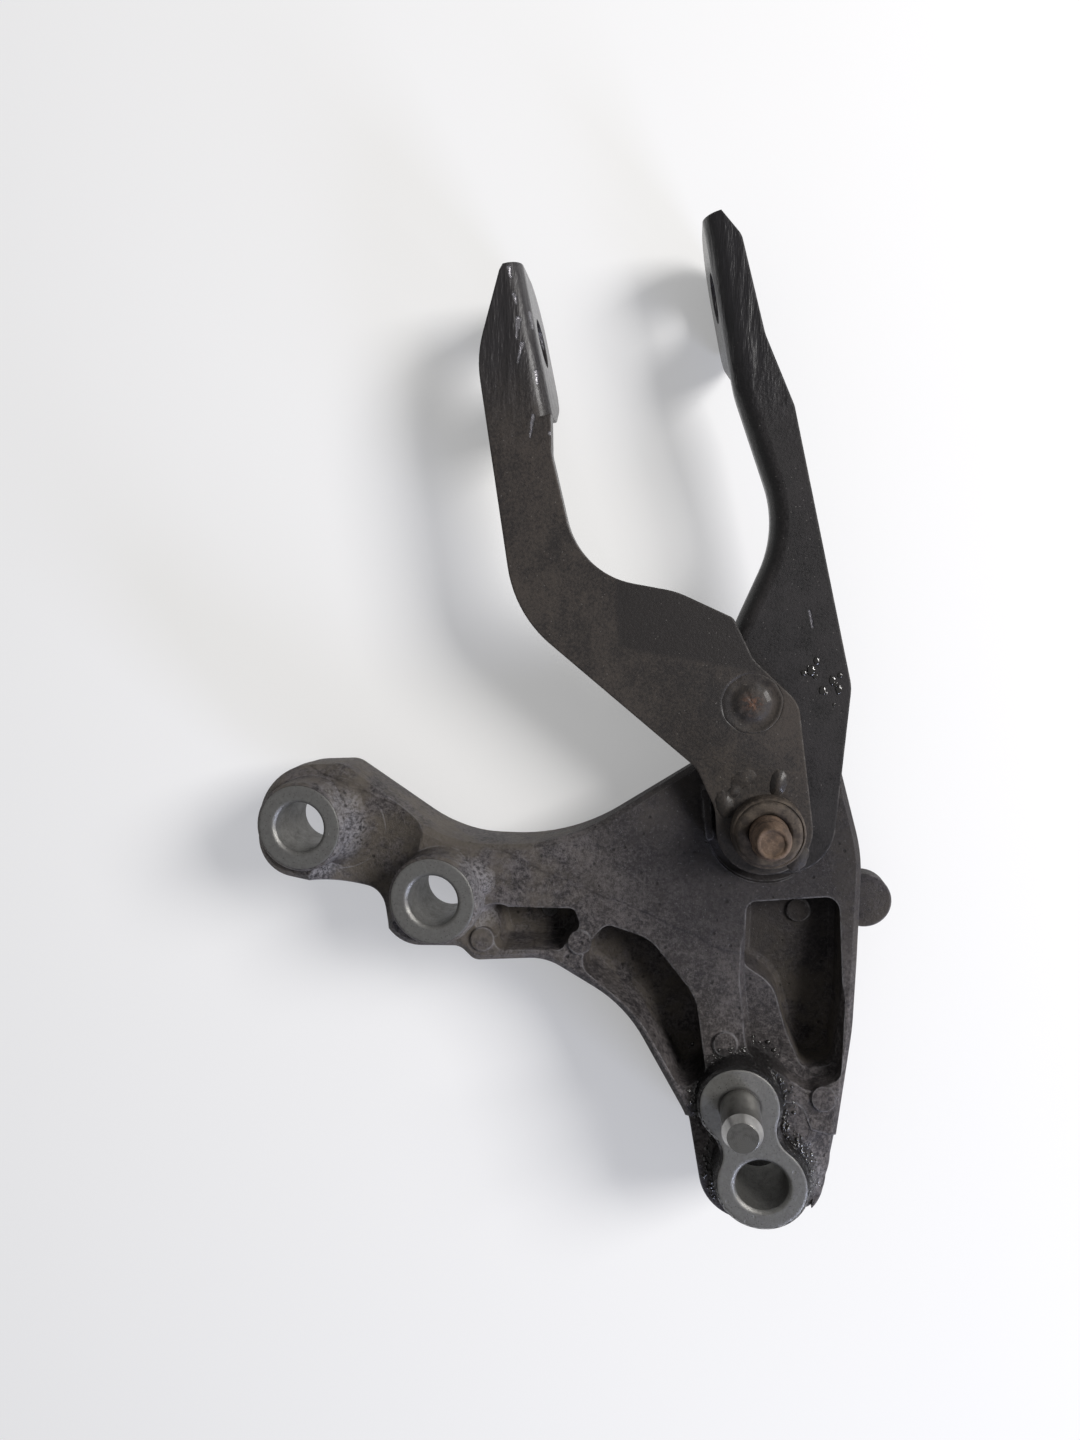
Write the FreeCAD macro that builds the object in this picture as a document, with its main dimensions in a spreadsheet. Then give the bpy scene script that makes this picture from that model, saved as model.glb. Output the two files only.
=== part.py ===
import FreeCAD, Part
import math
import os
from FreeCAD import Placement, Rotation, Vector

# Gearbox mount bracket: a die-cast bracket with a two-armed pressed fork bolted to it.
# Millimetres. The origin is on the axis of the lower bore, in the plane of the machined faces.
# +Z points out of the machined faces, +Y towards the fork tips, +X away from the far bosses.
# Levels named *_depth are measured down from the machined faces.

doc = FreeCAD.newDocument("gearbox_mount_bracket")

# Driving dimensions
SIZES = {
    # Machined bosses
    "outer_boss_x": -122.4, "outer_boss_y": 88.9,
    "middle_boss_x": -86.0, "middle_boss_y": 70.5,
    "dowel_x": -6.0, "dowel_y": 20.6,
    "boss_radius": 12.0, "dowel_boss_radius": 10.7, "neck_fillet": 7.0,
    "boss_draft": 4.0, "face_bevel": 0.8, "bore_radius": 6.75, "bore_chamfer": 0.7,
    "seat_depth": 20.5, "bolt_seat_radius": 12.5,
    # Casting
    "skirt": 2.3, "parting_depth": 16.0, "rear_depth": 29.0, "arm_rear_depth": 24.0,
    "foot_depth": 39.0, "foot_radius": 14.2, "draft": 2.0, "edge_bevel": 1.4,
    "web_depth": 6.0, "web_turn": -26.3, "web_wall": 5.0, "far_edge_wall": 4.3,
    "core_draft": 4.0, "core_bevel": 1.2,
    "short_pocket_depth": 19.0, "ramp_radius": 4.5, "long_pocket_depth": 20.0,
    "ledge_depth": 13.5, "deep_pocket_depth": 25.0, "rear_floor_depth": 24.0,
    "saddle_radius": 14.0, "saddle_depth": 12.0,
    "shoulder_depth": 8.5, "channel_depth": 14.0,
    "lug_x": 26.5, "lug_y": 69.3, "lug_radius": 7.2, "lug_thickness": 6.0,
    "disc_radius": 3.1, "disc_rise": 0.8,
    # Fork
    "fork_x": 0.0, "fork_y": 90.2, "fork_seat_radius": 15.0, "lip_depth": 14.5,
    "plate": 4.0, "bend_radius": 4.6, "fork_hole_radius": 5.5,
    "pad_x": -60.6, "pad_y": 217.5, "pad_angle": 11.5, "pad_gap": 46.0,
    "pad_reach": 17.0, "pad_tail": 22.0, "pad_hole_radius": 6.25, "pad_hole_depth": 24.5,
    "left_top_depth": 10.0, "right_top_depth": "=left_top_depth + plate",
    "fork_seat_depth": "=right_top_depth + plate", "flange_depth": 7.0,
    # Fasteners
    "nut_radius": 9.5, "nut_height": 5.5, "nut_bevel": 0.8,
    "thread_radius": 4.95, "thread_clearance": 0.1,
    "point_radius": 3.9, "point_length": 3.0, "point_recess": 0.5, "bolt_stickout": 10.0,
    "flange_radius": 10.0, "flange_height": 2.5, "head_across_flats": 15.0, "head_height": 9.5,
    "dowel_radius": 5.0, "dowel_stickout": 14.5, "dowel_grip": 14.0, "dowel_grip_radius": 5.1,
    "dowel_nose": 1.2, "dowel_nose_length": 2.4, "dowel_groove": 0.6, "dowel_groove_radius": 4.7,
    "rivet_x": -4.6, "rivet_y": 122.8, "rivet_radius": 4.0, "rivet_head_radius": 6.2, "rivet_dome": 1.7,
    "dimple_radius": 7.8, "dimple_depth": 0.8,
    "mound_radius": 3.8, "mound_height": 1.4,
}

sheet = doc.addObject("Spreadsheet::Sheet", "Sizes")
for row, (alias, value) in enumerate(SIZES.items(), start=1):
    sheet.set(f"A{row}", alias)
    sheet.set(f"B{row}", str(value))
    sheet.setAlias(f"B{row}", alias)
doc.recompute()


def size(alias):
    return float(sheet.get(alias))


def bind(feature, **expressions):
    """Bind properties to expressions; a double underscore stands for a dot."""
    for name, expression in expressions.items():
        feature.setExpression(name.replace("__", "."), expression)


def new_body(name):
    body = doc.addObject("PartDesign::Body", name)
    body.Label = name
    return body


def origin_plane(body, role):
    return next(item for item in body.Origin.OriginFeatures if item.Role == role)


def rounded_outline(corners):
    """Lines joined by tangent arcs round a closed polygon of (x, y, radius) corners."""
    points = [Vector(x, y, 0) for x, y, radius in corners]
    starts, ends, arcs = [], [], []
    for index, (x, y, radius) in enumerate(corners):
        corner = points[index]
        back = (points[index - 1] - corner).normalize()
        ahead = (points[(index + 1) % len(points)] - corner).normalize()
        half = back.getAngle(ahead) / 2
        trim = radius / math.tan(half)
        middle = corner + (back + ahead).normalize() * (radius / math.sin(half) - radius)
        starts.append(corner + back * trim)
        ends.append(corner + ahead * trim)
        arcs.append(Part.Arc(starts[-1], middle, ends[-1]) if radius else None)
    geometry = []
    for index, arc in enumerate(arcs):
        if arc:
            geometry.append(arc)
        geometry.append(Part.LineSegment(ends[index], starts[(index + 1) % len(starts)]))
    return geometry


def circle(x, y, radius):
    return Part.Circle(Vector(x, y, 0), Vector(0, 0, 1), radius)


def add_sketch(body, name, geometry, offset=None, role="XY_Plane", level=None):
    """A sketch on one of the body's own planes, moved by offset or to a level bound to the sheet."""
    sketch = body.newObject("Sketcher::SketchObject", name)
    sketch.AttachmentSupport = [(origin_plane(body, role), "")]
    sketch.MapMode = "FlatFace"
    if offset:
        sketch.AttachmentOffset = offset
    if level:
        sketch.setExpression("AttachmentOffset.Base.z", level)
    sketch.addGeometry(geometry, False)
    return sketch


def add_pad(body, name, sketch, length, draft=None, downwards=False):
    pad = body.newObject("PartDesign::Pad", name)
    pad.Profile = sketch
    pad.setExpression("Length", length)
    pad.Reversed = downwards
    if draft:
        pad.setExpression("TaperAngle", draft)
    return pad


def level_edges(shape, level):
    """Names of the edges that lie wholly at one height."""
    names = []
    for number, edge in enumerate(shape.Edges, start=1):
        box = edge.BoundBox
        if abs(box.ZMin - level) < 0.01 and abs(box.ZMax - level) < 0.01:
            names.append(f"Edge{number}")
    return names


def add_chamfer(body, name, base, edges, width):
    chamfer = body.newObject("PartDesign::Chamfer", name)
    chamfer.Base = (base, edges)
    chamfer.setExpression("Size", width)
    return chamfer


def boolean(kind, name, base, *tools):
    """Part::Cut of one base and one tool, or a MultiFuse or MultiCommon of them all."""
    result = doc.addObject(kind, name)
    if kind in ("Part::MultiFuse", "Part::MultiCommon"):
        result.Shapes = [base, *tools]
    else:
        result.Base, result.Tool = base, tools[0]
    doc.recompute()
    return result


def drafted_core(name, corners, depth_alias):
    """A core with drafted walls from above the casting down to its own bevelled floor."""
    body = new_body(name)
    sketch = add_sketch(body, name + "_mouth", rounded_outline(corners), level="4 mm")
    pad = add_pad(body, name + "_pad", sketch, f"Sizes.{depth_alias} + 4", "-Sizes.core_draft", downwards=True)
    doc.recompute()
    floor = level_edges(pad.Shape, -size(depth_alias))
    add_chamfer(body, name + "_floor", pad, floor, "Sizes.core_bevel")
    return body


# Points that several pieces share
outer = Vector(size("outer_boss_x"), size("outer_boss_y"), 0)
middle = Vector(size("middle_boss_x"), size("middle_boss_y"), 0)
dowel = Vector(size("dowel_x"), size("dowel_y"), 0)
fork = Vector(size("fork_x"), size("fork_y"), 0)
skirt_radius = size("boss_radius") + size("skirt")


def near(point, dx, dy, radius):
    """A rounded corner placed from a boss or from the fork bolt."""
    return (point.x + dx, point.y + dy, radius)


# Casting blank: the outline at the parting line, drafted both ways
origin = Vector(0, 0, 0)
CASTING_OUTLINE = [
    near(outer, -skirt_radius, skirt_radius + 0.8, skirt_radius - 0.3),
    near(outer, 8.4, skirt_radius + 1.6, 6),
    near(middle, 2.0, 13.3, 34),
    near(middle, 33.0, 13.0, 54),
    near(fork, -8.0, 22.3, 14),
    near(fork, 18.5, 22.3, 10),
    near(fork, 25.8, -8.2, 40),
    near(origin, 23.0, 38.0, 60),
    near(origin, skirt_radius + 0.5, -skirt_radius - 0.5, 13),
    near(origin, -skirt_radius + 0.3, -skirt_radius - 1.0, 13),
    near(origin, -19.3, 15.0, 20),
    near(origin, -36.0, 42.5, 35),
    near(middle, 29.0, -16.3, 15),
    near(middle, 10.0, -17.3, 4),
    near(middle, 6.0, -13.7, 4),
    near(middle, -12.5, -13.9, 12),
    near(middle, -17.5, -1.0, 8),
    near(outer, -skirt_radius, -skirt_radius + 1.4, 12),
]
blank = new_body("casting_blank")
blank_sketch = add_sketch(blank, "casting_outline", rounded_outline(CASTING_OUTLINE), level="-Sizes.parting_depth")
blank_top = add_pad(blank, "casting_above_parting", blank_sketch, "Sizes.parting_depth + 12", "-Sizes.draft")
doc.recompute()
blank_lower_sketch = add_sketch(
    blank, "casting_outline_lower", rounded_outline(CASTING_OUTLINE), level="-Sizes.parting_depth")
blank_rear = add_pad(
    blank, "casting_below_parting", blank_lower_sketch, "Sizes.rear_depth - Sizes.parting_depth",
    "-Sizes.draft", downwards=True)
doc.recompute()


# The web falls from the middle boss to a thin wall at the far edge, beyond the fork
web_turned = Rotation(Vector(0, 0, 1), size("web_turn"))
down_web = web_turned.multVec(Vector(0, 1, 0))
far_edge = fork + Vector(0, 22.0, 0)
web_fall = (size("rear_depth") - size("far_edge_wall") - size("web_depth")) / (far_edge - middle).dot(down_web)
web_slope = math.degrees(math.atan(web_fall))
web_tilted = web_turned.multiply(Rotation(Vector(1, 0, 0), -web_slope))


def web_level(x, y):
    """Height of the sloping web over a point."""
    return -size("web_depth") - (Vector(x, y, 0) - middle).dot(down_web) * web_fall



def web_block(name, drop=0.0):
    """A block that stands on the web plane, or on a plane below it, and holds all that is above."""
    block = doc.addObject("Part::Box", name)
    block.Length = block.Width = 500
    block.Height = 120
    corner = web_tilted.multVec(Vector(-250, -250, 0))
    block.Placement = Placement(Vector(middle.x, middle.y, -size("web_depth") - drop) + corner, web_tilted)
    return block


def cylinder(name, x, y, radius, bottom, top):
    """A Part cylinder between two bound levels."""
    solid = doc.addObject("Part::Cylinder", name)
    bind(solid, Radius=radius, Height=f"({top}) - ({bottom})", Placement__Base__x=x, Placement__Base__y=y,
         Placement__Base__z=bottom)
    return solid


def prism(name, corners, bottom, length, draft=None):
    """A drafted prism of a rounded outline, padded up from a bound level."""
    body = new_body(name)
    sketch = add_sketch(body, name + "_outline", rounded_outline(corners), level=bottom)
    add_pad(body, name + "_pad", sketch, length, draft)
    return body


# Web: the blank is trimmed by the sloping plane and its top edge bevelled
trimmed = boolean("Part::Cut", "trimmed_blank", blank, web_block("above_web"))
web_normal = web_tilted.multVec(Vector(0, 0, 1))


def on_web(point):
    return abs((point - Vector(middle.x, middle.y, -size("web_depth"))).dot(web_normal)) < 0.01


rim_edges = []
for number, edge in enumerate(trimmed.Shape.Edges, start=1):
    if all(on_web(edge.valueAt(value)) for value in edge.ParameterRange):
        rim_edges.append((number, size("edge_bevel"), size("edge_bevel")))
bevelled = doc.addObject("Part::Chamfer", "bevelled_blank")
bevelled.Base = trimmed
bevelled.Edges = rim_edges
doc.recompute()

# Pockets, each cut by a drafted core
short_core = drafted_core("short_pocket_core", [
    near(middle, 12.0, -2.0, 3), near(middle, 37.0, -2.0, 3), near(middle, 39.2, -7.5, 3),
    near(middle, 33.5, -14.4, 3), near(middle, 15.5, -14.4, 3), near(middle, 14.0, -8.0, 3),
], "short_pocket_depth")
long_core = drafted_core("long_pocket_core", [
    near(origin, -46.5, 59.0, 4), near(origin, -41.5, 64.8, 4), near(origin, -29.0, 61.0, 12),
    near(origin, -16.5, 46.0, 14), near(origin, -13.8, 26.5, 4), near(origin, -21.0, 21.8, 3.5),
    near(origin, -32.8, 40.4, 32), near(origin, -48.8, 52.6, 5),
], "long_pocket_depth")
ledge_core = drafted_core("ledge_core", [
    near(origin, -6.6, 71.8, 4), near(origin, 21.8, 74.0, 5), near(origin, 22.2, 48.0, 60),
    near(origin, 20.6, 25.6, 4), near(origin, 11.5, 22.2, 3.2), near(origin, -5.0, 32.0, 6),
    near(origin, -7.2, 50.0, 30),
], "ledge_depth")
deep_core = drafted_core("deep_pocket_core", [
    near(origin, -5.8, 71.0, 4), near(origin, 21.0, 73.2, 5), near(origin, 21.4, 48.0, 60),
    near(origin, 19.8, 26.4, 4), near(origin, 10.0, 24.2, 4), near(origin, 5.2, 35.0, 14),
    near(origin, 1.6, 47.5, 9), near(origin, -6.2, 52.5, 4),
], "deep_pocket_depth")

# The short pocket's end by the middle boss rises as a round-bottomed ramp
ramp = doc.addObject("Part::Cylinder", "short_pocket_ramp")
bind(ramp, Radius="Sizes.ramp_radius", Height="Sizes.short_pocket_depth * 2")
ramp_low = middle + Vector(21.0, -8.2, size("ramp_radius") * 1.2 - size("short_pocket_depth"))
ramp_high = middle + Vector(11.5, -5.0, 0)
ramp.Placement = Placement(ramp_low, Rotation(Vector(0, 0, 1), ramp_high - ramp_low))

# Coring behind the web, with a level floor behind the short and long pockets
web_core = prism("web_rear_core", [
    near(origin, -70.0, 80.0, 0), near(origin, -50.0, 80.0, 10), near(origin, -22.0, 97.5, 4),
    near(origin, -19.5, 66.0, 4), near(origin, -38.0, 71.0, 0), near(origin, -62.0, 74.5, 0),
], "-Sizes.rear_depth - 2", "40 mm")
rear_web_core = boolean("Part::Cut", "rear_web_core", web_core, web_block("above_web_wall", size("web_wall")))
rear_floor_core = prism("rear_floor_core", [
    near(origin, -74.0, 71.5, 3), near(origin, -62.0, 69.0, 0), near(origin, -40.0, 65.5, 0),
    near(origin, -16.0, 54.0, 6), near(origin, -15.5, 27.0, 4), near(origin, -32.0, 46.5, 25),
    near(origin, -52.0, 58.5, 0), near(origin, -72.0, 58.0, 3),
], "-Sizes.rear_depth - 2", "Sizes.rear_depth + 2 - Sizes.rear_floor_depth - 1", "-Sizes.core_draft")

# Cuts from the front: the saddle between the far bosses, the shoulder and channel by the lower ones
saddle = doc.addObject("Part::Cylinder", "saddle_cut")
bind(saddle, Radius="Sizes.saddle_radius", Height="90 mm")
row = (middle - outer).normalize()
across_row = Vector(-row.y, row.x, 0)
saddle_low = outer + row * (outer.distanceToPoint(middle) / 2) - across_row * 45
saddle_low.z = size("saddle_radius") - size("saddle_depth")
saddle.Placement = Placement(saddle_low, Rotation(Vector(0, 0, 1), across_row))
shoulder = prism("shoulder_cut", [
    near(origin, -32.0, 13.0, 0), near(origin, -8.0, 19.0, 0), near(origin, 32.0, 9.0, 0),
    near(origin, 32.0, -26.0, 0), near(origin, -32.0, -26.0, 0),
], "-Sizes.shoulder_depth", "30 mm")
channel = prism("channel_cut", [
    near(origin, 2.0, 20.0, 0), near(origin, 9.5, 20.5, 3), near(origin, 13.6, 11.0, 6),
    near(origin, 14.2, -4.0, 6), near(origin, 12.0, -24.0, 0), near(origin, 0.0, -24.0, 0),
], "-Sizes.channel_depth", "40 mm")
seat_recess = cylinder("fork_seat_recess", "Sizes.fork_x", "Sizes.fork_y", "Sizes.fork_seat_radius + 0.5",
                       "-Sizes.fork_seat_depth", "10")
arm_rear = doc.addObject("Part::Box", "arm_rear_cut")
bind(arm_rear, Length="80 mm", Width="80 mm", Height="30 mm")
rear_rise = math.atan2(size("rear_depth") - size("arm_rear_depth"), middle.x - outer.x)
rear_tilted = Rotation(Vector(0, 1, 0), math.degrees(rear_rise))
rear_start = Vector(middle.x, 40, -size("rear_depth"))
arm_rear.Placement = Placement(rear_start + rear_tilted.multVec(Vector(-80, 0, -30)), rear_tilted)

cuts = boolean("Part::MultiFuse", "front_and_rear_cuts", short_core, ramp, long_core, ledge_core, deep_core,
               rear_web_core, rear_floor_core, saddle, shoulder, channel, seat_recess, arm_rear)
cored = boolean("Part::Cut", "cored_casting", bevelled, cuts)

# Machined bosses, widening downwards with their draft
def joined_lobes(centre_a, radius_a, centre_b, radius_b, fillet):
    """Outline of two discs joined by a waist: four arcs, the two waist arcs tangent to both discs."""
    gap = centre_b - centre_a
    along = Vector(gap).normalize()
    side = Vector(-along.y, along.x, 0)
    reach_a, reach_b = radius_a + fillet, radius_b + fillet
    run = (gap.Length ** 2 + reach_a ** 2 - reach_b ** 2) / (2 * gap.Length)
    rise = math.sqrt(reach_a ** 2 - run ** 2)
    arcs = []
    touches = []
    for sign in (1, -1):
        centre = centre_a + along * run + side * (rise * sign)
        at_a = centre + (centre_a - centre).normalize() * fillet
        at_b = centre + (centre_b - centre).normalize() * fillet
        waist = centre - side * (fillet * sign)
        arcs.append(Part.Arc(at_a, waist, at_b))
        touches.append((at_a, at_b))
    arcs.append(Part.Arc(touches[0][0], centre_a - along * radius_a, touches[1][0]))
    arcs.append(Part.Arc(touches[0][1], centre_b + along * radius_b, touches[1][1]))
    return arcs


def boss(name, geometry, depth):
    body = new_body(name)
    sketch = add_sketch(body, name + "_face", geometry)
    pad = add_pad(body, name + "_pad", sketch, depth, "Sizes.boss_draft", downwards=True)
    doc.recompute()
    add_chamfer(body, name + "_rim", pad, level_edges(pad.Shape, 0), "Sizes.face_bevel")
    return body


outer_boss = boss("outer_boss", [circle(outer.x, outer.y, size("boss_radius"))], "Sizes.seat_depth")
middle_boss = boss("middle_boss", [circle(middle.x, middle.y, size("boss_radius"))], "Sizes.seat_depth")
lower_boss = boss("lower_boss", joined_lobes(
    origin, size("boss_radius"), dowel, size("dowel_boss_radius"), size("neck_fillet")), "Sizes.rear_depth")
foot = cylinder("foot", "0", "0", "Sizes.foot_radius", "-Sizes.foot_depth", "4 - Sizes.seat_depth")
lug = cylinder("edge_lug", "Sizes.lug_x", "Sizes.lug_y", "Sizes.lug_radius",
               "-Sizes.rear_depth", "Sizes.lug_thickness - Sizes.rear_depth")
seat = cylinder("fork_seat", "Sizes.fork_x", "Sizes.fork_y", "Sizes.fork_seat_radius", "-Sizes.rear_depth",
                "-Sizes.fork_seat_depth")
lip = prism("fork_lip", [
    near(fork, -16.9, 9.8, 1.0), near(fork, -15.4, -4.6, 1.0), near(fork, -13.2, -3.8, 0.8), near(fork, -14.6, 9.6, 1.0),
], "-Sizes.rear_depth", "Sizes.rear_depth - Sizes.lip_depth", "-0.5")

# Ejector-pin discs: four lie on the web, one on the floor of the deep pocket
discs = []
for number, (x, y) in enumerate([(-73.6, 59.4), (-47.9, 59.0), (-9.7, 34.3), (15.3, 21.6)], start=1):
    disc = doc.addObject("Part::Cylinder", f"ejector_disc_{number}")
    bind(disc, Radius="Sizes.disc_radius", Height="Sizes.disc_rise + 3")
    disc.Placement = Placement(Vector(x, y, web_level(x, y)) - web_normal * 3, web_tilted)
    discs.append(disc)
discs.append(cylinder("ejector_disc_5", "9.9", "65.4", "Sizes.disc_radius", "-Sizes.deep_pocket_depth - 2",
                      "Sizes.disc_rise - Sizes.deep_pocket_depth"))

massed = boolean("Part::MultiFuse", "massed_casting", cored, outer_boss, middle_boss, lower_boss, foot, lug, seat,
                 lip, *discs)

# Machined bores, spot-faces and the blind hole of the dowel
bores = []
for name, centre, spot_bottom in (("outer", outer, "rear_depth"), ("middle", middle, "rear_depth"),
                                  ("lower", origin, "foot_depth")):
    bores.append(cylinder(name + "_bore", str(centre.x), str(centre.y), "Sizes.bore_radius",
                          "-Sizes.seat_depth - 1", "1"))
    bores.append(cylinder(name + "_spot_face", str(centre.x), str(centre.y), "Sizes.bolt_seat_radius",
                          f"-Sizes.{spot_bottom} - 1", "-Sizes.seat_depth"))
    mouth = doc.addObject("Part::Cone", name + "_bore_mouth")
    bind(mouth, Radius1="Sizes.bore_radius", Radius2="Sizes.bore_radius + Sizes.bore_chamfer * 2",
         Height="Sizes.bore_chamfer * 2", Placement__Base__z="-Sizes.bore_chamfer",
         Placement__Base__x=str(centre.x), Placement__Base__y=str(centre.y))
    bores.append(mouth)
bores.append(cylinder("dowel_hole", "Sizes.dowel_x", "Sizes.dowel_y", "Sizes.dowel_grip_radius",
                      "-Sizes.dowel_grip", "1"))
bores.append(cylinder("fork_bolt_hole", "Sizes.fork_x", "Sizes.fork_y", "Sizes.fork_hole_radius",
                      "-Sizes.rear_depth - 1", "1"))
bore_cuts = boolean("Part::MultiFuse", "bore_cuts", *bores)
cast_bracket = boolean("Part::Cut", "cast_bracket", massed, bore_cuts)
cast_bracket.Label = "cast_bracket"


# Fork: two pressed plates, each with a clevis pad folded down along its inner edge
pad_turn = Rotation(Vector(0, 0, 1), size("pad_angle"))
pad_axis = pad_turn.multVec(Vector(1, 0, 0))
pad_along = pad_turn.multVec(Vector(0, 1, 0))
left_pad = Vector(size("pad_x"), size("pad_y"), 0)
right_pad = left_pad + pad_axis * size("pad_gap")


def on_pad(pad_point, facing, back, along):
    """A point behind the pad's inner face by back and along the fold by along."""
    return pad_point - pad_axis * (facing * back) + pad_along * along


def fold_section(facing, top, bottom):
    """Section across a fold: a quarter bend and the leg under it. The leg's face is at x = 0 and looks along facing."""
    plate, bend = size("plate"), size("bend_radius")
    corner = Vector(-facing * bend, top - bend, 0)
    inner = bend - plate

    def arc(radius):
        half = math.radians(45)
        return Part.Arc(corner + Vector(0, radius, 0),
                        corner + Vector(facing * math.sin(half) * radius, math.cos(half) * radius, 0),
                        corner + Vector(facing * radius, 0, 0))

    return [
        arc(bend), arc(inner),
        Part.LineSegment(corner + Vector(facing * bend, 0, 0), Vector(0, bottom, 0)),
        Part.LineSegment(Vector(0, bottom, 0), Vector(-facing * plate, bottom, 0)),
        Part.LineSegment(Vector(-facing * plate, bottom, 0), corner + Vector(facing * inner, 0, 0)),
        Part.LineSegment(corner + Vector(0, inner, 0), corner + Vector(0, bend, 0)),
    ]


def clevis_pad(name, pad_point, facing, top_alias):
    """The bend and the hanging pad: a fold section run straight, later trimmed to the pad's side outline."""
    body = new_body(name)
    turned = pad_turn.multiply(Rotation(Vector(1, 0, 0), 90))
    start = on_pad(pad_point, facing, 0, size("pad_reach"))
    section = fold_section(facing, -size(top_alias), -size("foot_depth"))
    sketch = add_sketch(body, name + "_section", section, offset=Placement(start, turned))
    add_pad(body, name + "_run", sketch, "Sizes.pad_reach + Sizes.pad_tail")
    return body


def edge_flange(name, corners, facing, top_alias):
    """A low flange folded down along an open path that goes on from the end of a clevis pad."""
    body = new_body(name)
    open_path = rounded_outline(corners)[:-1]
    path = add_sketch(body, name + "_path", open_path)
    turned = pad_turn.multiply(Rotation(Vector(1, 0, 0), 90))
    section = fold_section(facing, -size(top_alias), -size(top_alias) - size("flange_depth"))
    profile = add_sketch(body, name + "_section", section, offset=Placement(Vector(*corners[0][:2], 0), turned))
    pipe = body.newObject("PartDesign::AdditivePipe", name + "_pipe")
    pipe.Profile = profile
    pipe.Spine = (path, [f"Edge{number + 1}" for number in range(len(open_path))])
    return body


def pad_side(name, pad_point, facing):
    """The side outline of the pad with its bolt hole, as a prism along the pad axis."""
    body = new_body(name)
    reach, tail = size("pad_reach"), size("pad_tail")
    bottom = -size("foot_depth")
    turned = pad_turn.multiply(Rotation(Vector(0, 0, 1), 90)).multiply(Rotation(Vector(1, 0, 0), 90))
    outline = rounded_outline([
        (reach, 4, 0), (reach, bottom, 14), (-tail + 8, bottom, 9), (-tail, bottom + 18, 6), (-tail, 4, 0)])
    outline.append(Part.Circle(Vector(0, -size("pad_hole_depth"), 0), Vector(0, 0, 1), size("pad_hole_radius")))
    start = pad_point - pad_axis * 20
    sketch = add_sketch(body, name + "_outline", outline, offset=Placement(start, turned))
    add_pad(body, name + "_prism", sketch, "40")
    return body


def arm(name, corners, pad_point, facing, top_alias, *flanges):
    """One arm of the fork: the flat plate with its holes, joined to its folded pad and any flange."""
    flat = new_body(name + "_plate")
    outline = rounded_outline(corners)
    outline.append(circle(fork.x, fork.y, size("fork_hole_radius")))
    outline.append(circle(size("rivet_x"), size("rivet_y"), size("rivet_radius")))
    sketch = add_sketch(flat, name + "_plan", outline, level=f"-Sizes.{top_alias}")
    add_pad(flat, name + "_sheet", sketch, "Sizes.plate", downwards=True)
    bend = clevis_pad(name + "_fold", pad_point, facing, top_alias)
    side = pad_side(name + "_pad_side", pad_point, facing)
    doc.recompute()
    trimmed_pad = boolean("Part::MultiCommon", name + "_pad", bend, side)
    return boolean("Part::MultiFuse", name, flat, trimmed_pad, *flanges)


def pad_corner(pad_point, facing, back, along):
    point = on_pad(pad_point, facing, back, along)
    return (point.x, point.y, 0)


bend, reach, tail = size("bend_radius"), size("pad_reach"), size("pad_tail")
left_arm = arm("left_arm", [
    pad_corner(left_pad, 1, bend, reach),
    near(left_pad, -8.8, 14.3, 1),
    near(left_pad, -14.8, -6.5, 28),
    near(fork, -65.7, 55.2, 32),
    near(fork, -18.2, 15.7, 6),
    near(fork, -13.2, 5.0, 10),
    near(fork, -12.2, -11.5, 11.8),
    near(fork, 13.0, -11.8, 11.8),
    near(fork, 6.9, 32.8, 8),
    near(fork, -4.5, 43.6, 10),
    near(fork, -9.6, 54.1, 2.5),
    near(fork, -24.0, 60.8, 20),
    near(fork, -48.8, 65.5, 22),
    near(left_pad, 4.6, -31.5, 6),
    pad_corner(left_pad, 1, 0, -tail),
    pad_corner(left_pad, 1, bend, -tail),
], left_pad, 1, "left_top_depth")
right_flange = edge_flange("right_arm_flange", [
    pad_corner(right_pad, -1, 0, -tail),
    near(fork, -10.2, 110.5, 30),
    near(fork, 1.6, 76.8, 30),
    near(fork, -12.0, 45.5, 0),
], -1, "right_top_depth")
# Inside the flange the plate ends just short of the bend line, so that the two overlap
right_arm = arm("right_arm", [
    pad_corner(right_pad, -1, bend, reach),
    near(right_pad, 6.2, 11.4, 5),
    near(right_pad, 12.4, -12.5, 14),
    near(right_pad, 19.9, -30.0, 8),
    near(fork, 20.2, 36.8, 12),
    near(fork, 16.4, -12.2, 13),
    near(fork, -12.0, -12.0, 12),
    near(fork, -14.5, 36.0, 6),
    near(fork, -8.1, 43.8, 0),
    near(fork, 6.2, 76.6, 34.3),
    near(fork, -6.1, 111.6, 25.7),
    pad_corner(right_pad, -1, bend - 0.3, -tail),
    pad_corner(right_pad, -1, bend, -tail),
], right_pad, -1, "right_top_depth", right_flange)


# Fasteners: turned about their own axes
def turned(name, profile, x, y):
    """A body turned about a vertical axis from a closed (radius, height) outline or ready geometry."""
    body = new_body(name)
    sketch = body.newObject("Sketcher::SketchObject", name + "_profile")
    sketch.AttachmentSupport = [(origin_plane(body, "XZ_Plane"), "")]
    sketch.MapMode = "FlatFace"
    sketch.addGeometry(profile, False)
    revolution = body.newObject("PartDesign::Revolution", name + "_turned")
    revolution.Profile = sketch
    revolution.ReferenceAxis = (sketch, ["V_Axis"])
    revolution.Angle = 360
    bind(body, Placement__Base__x=x, Placement__Base__y=y)
    return body


def straight_profile(points):
    corners = [Vector(radius, height, 0) for radius, height in points]
    return [Part.LineSegment(corners[index - 1], corners[index]) for index in range(len(corners))]


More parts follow.
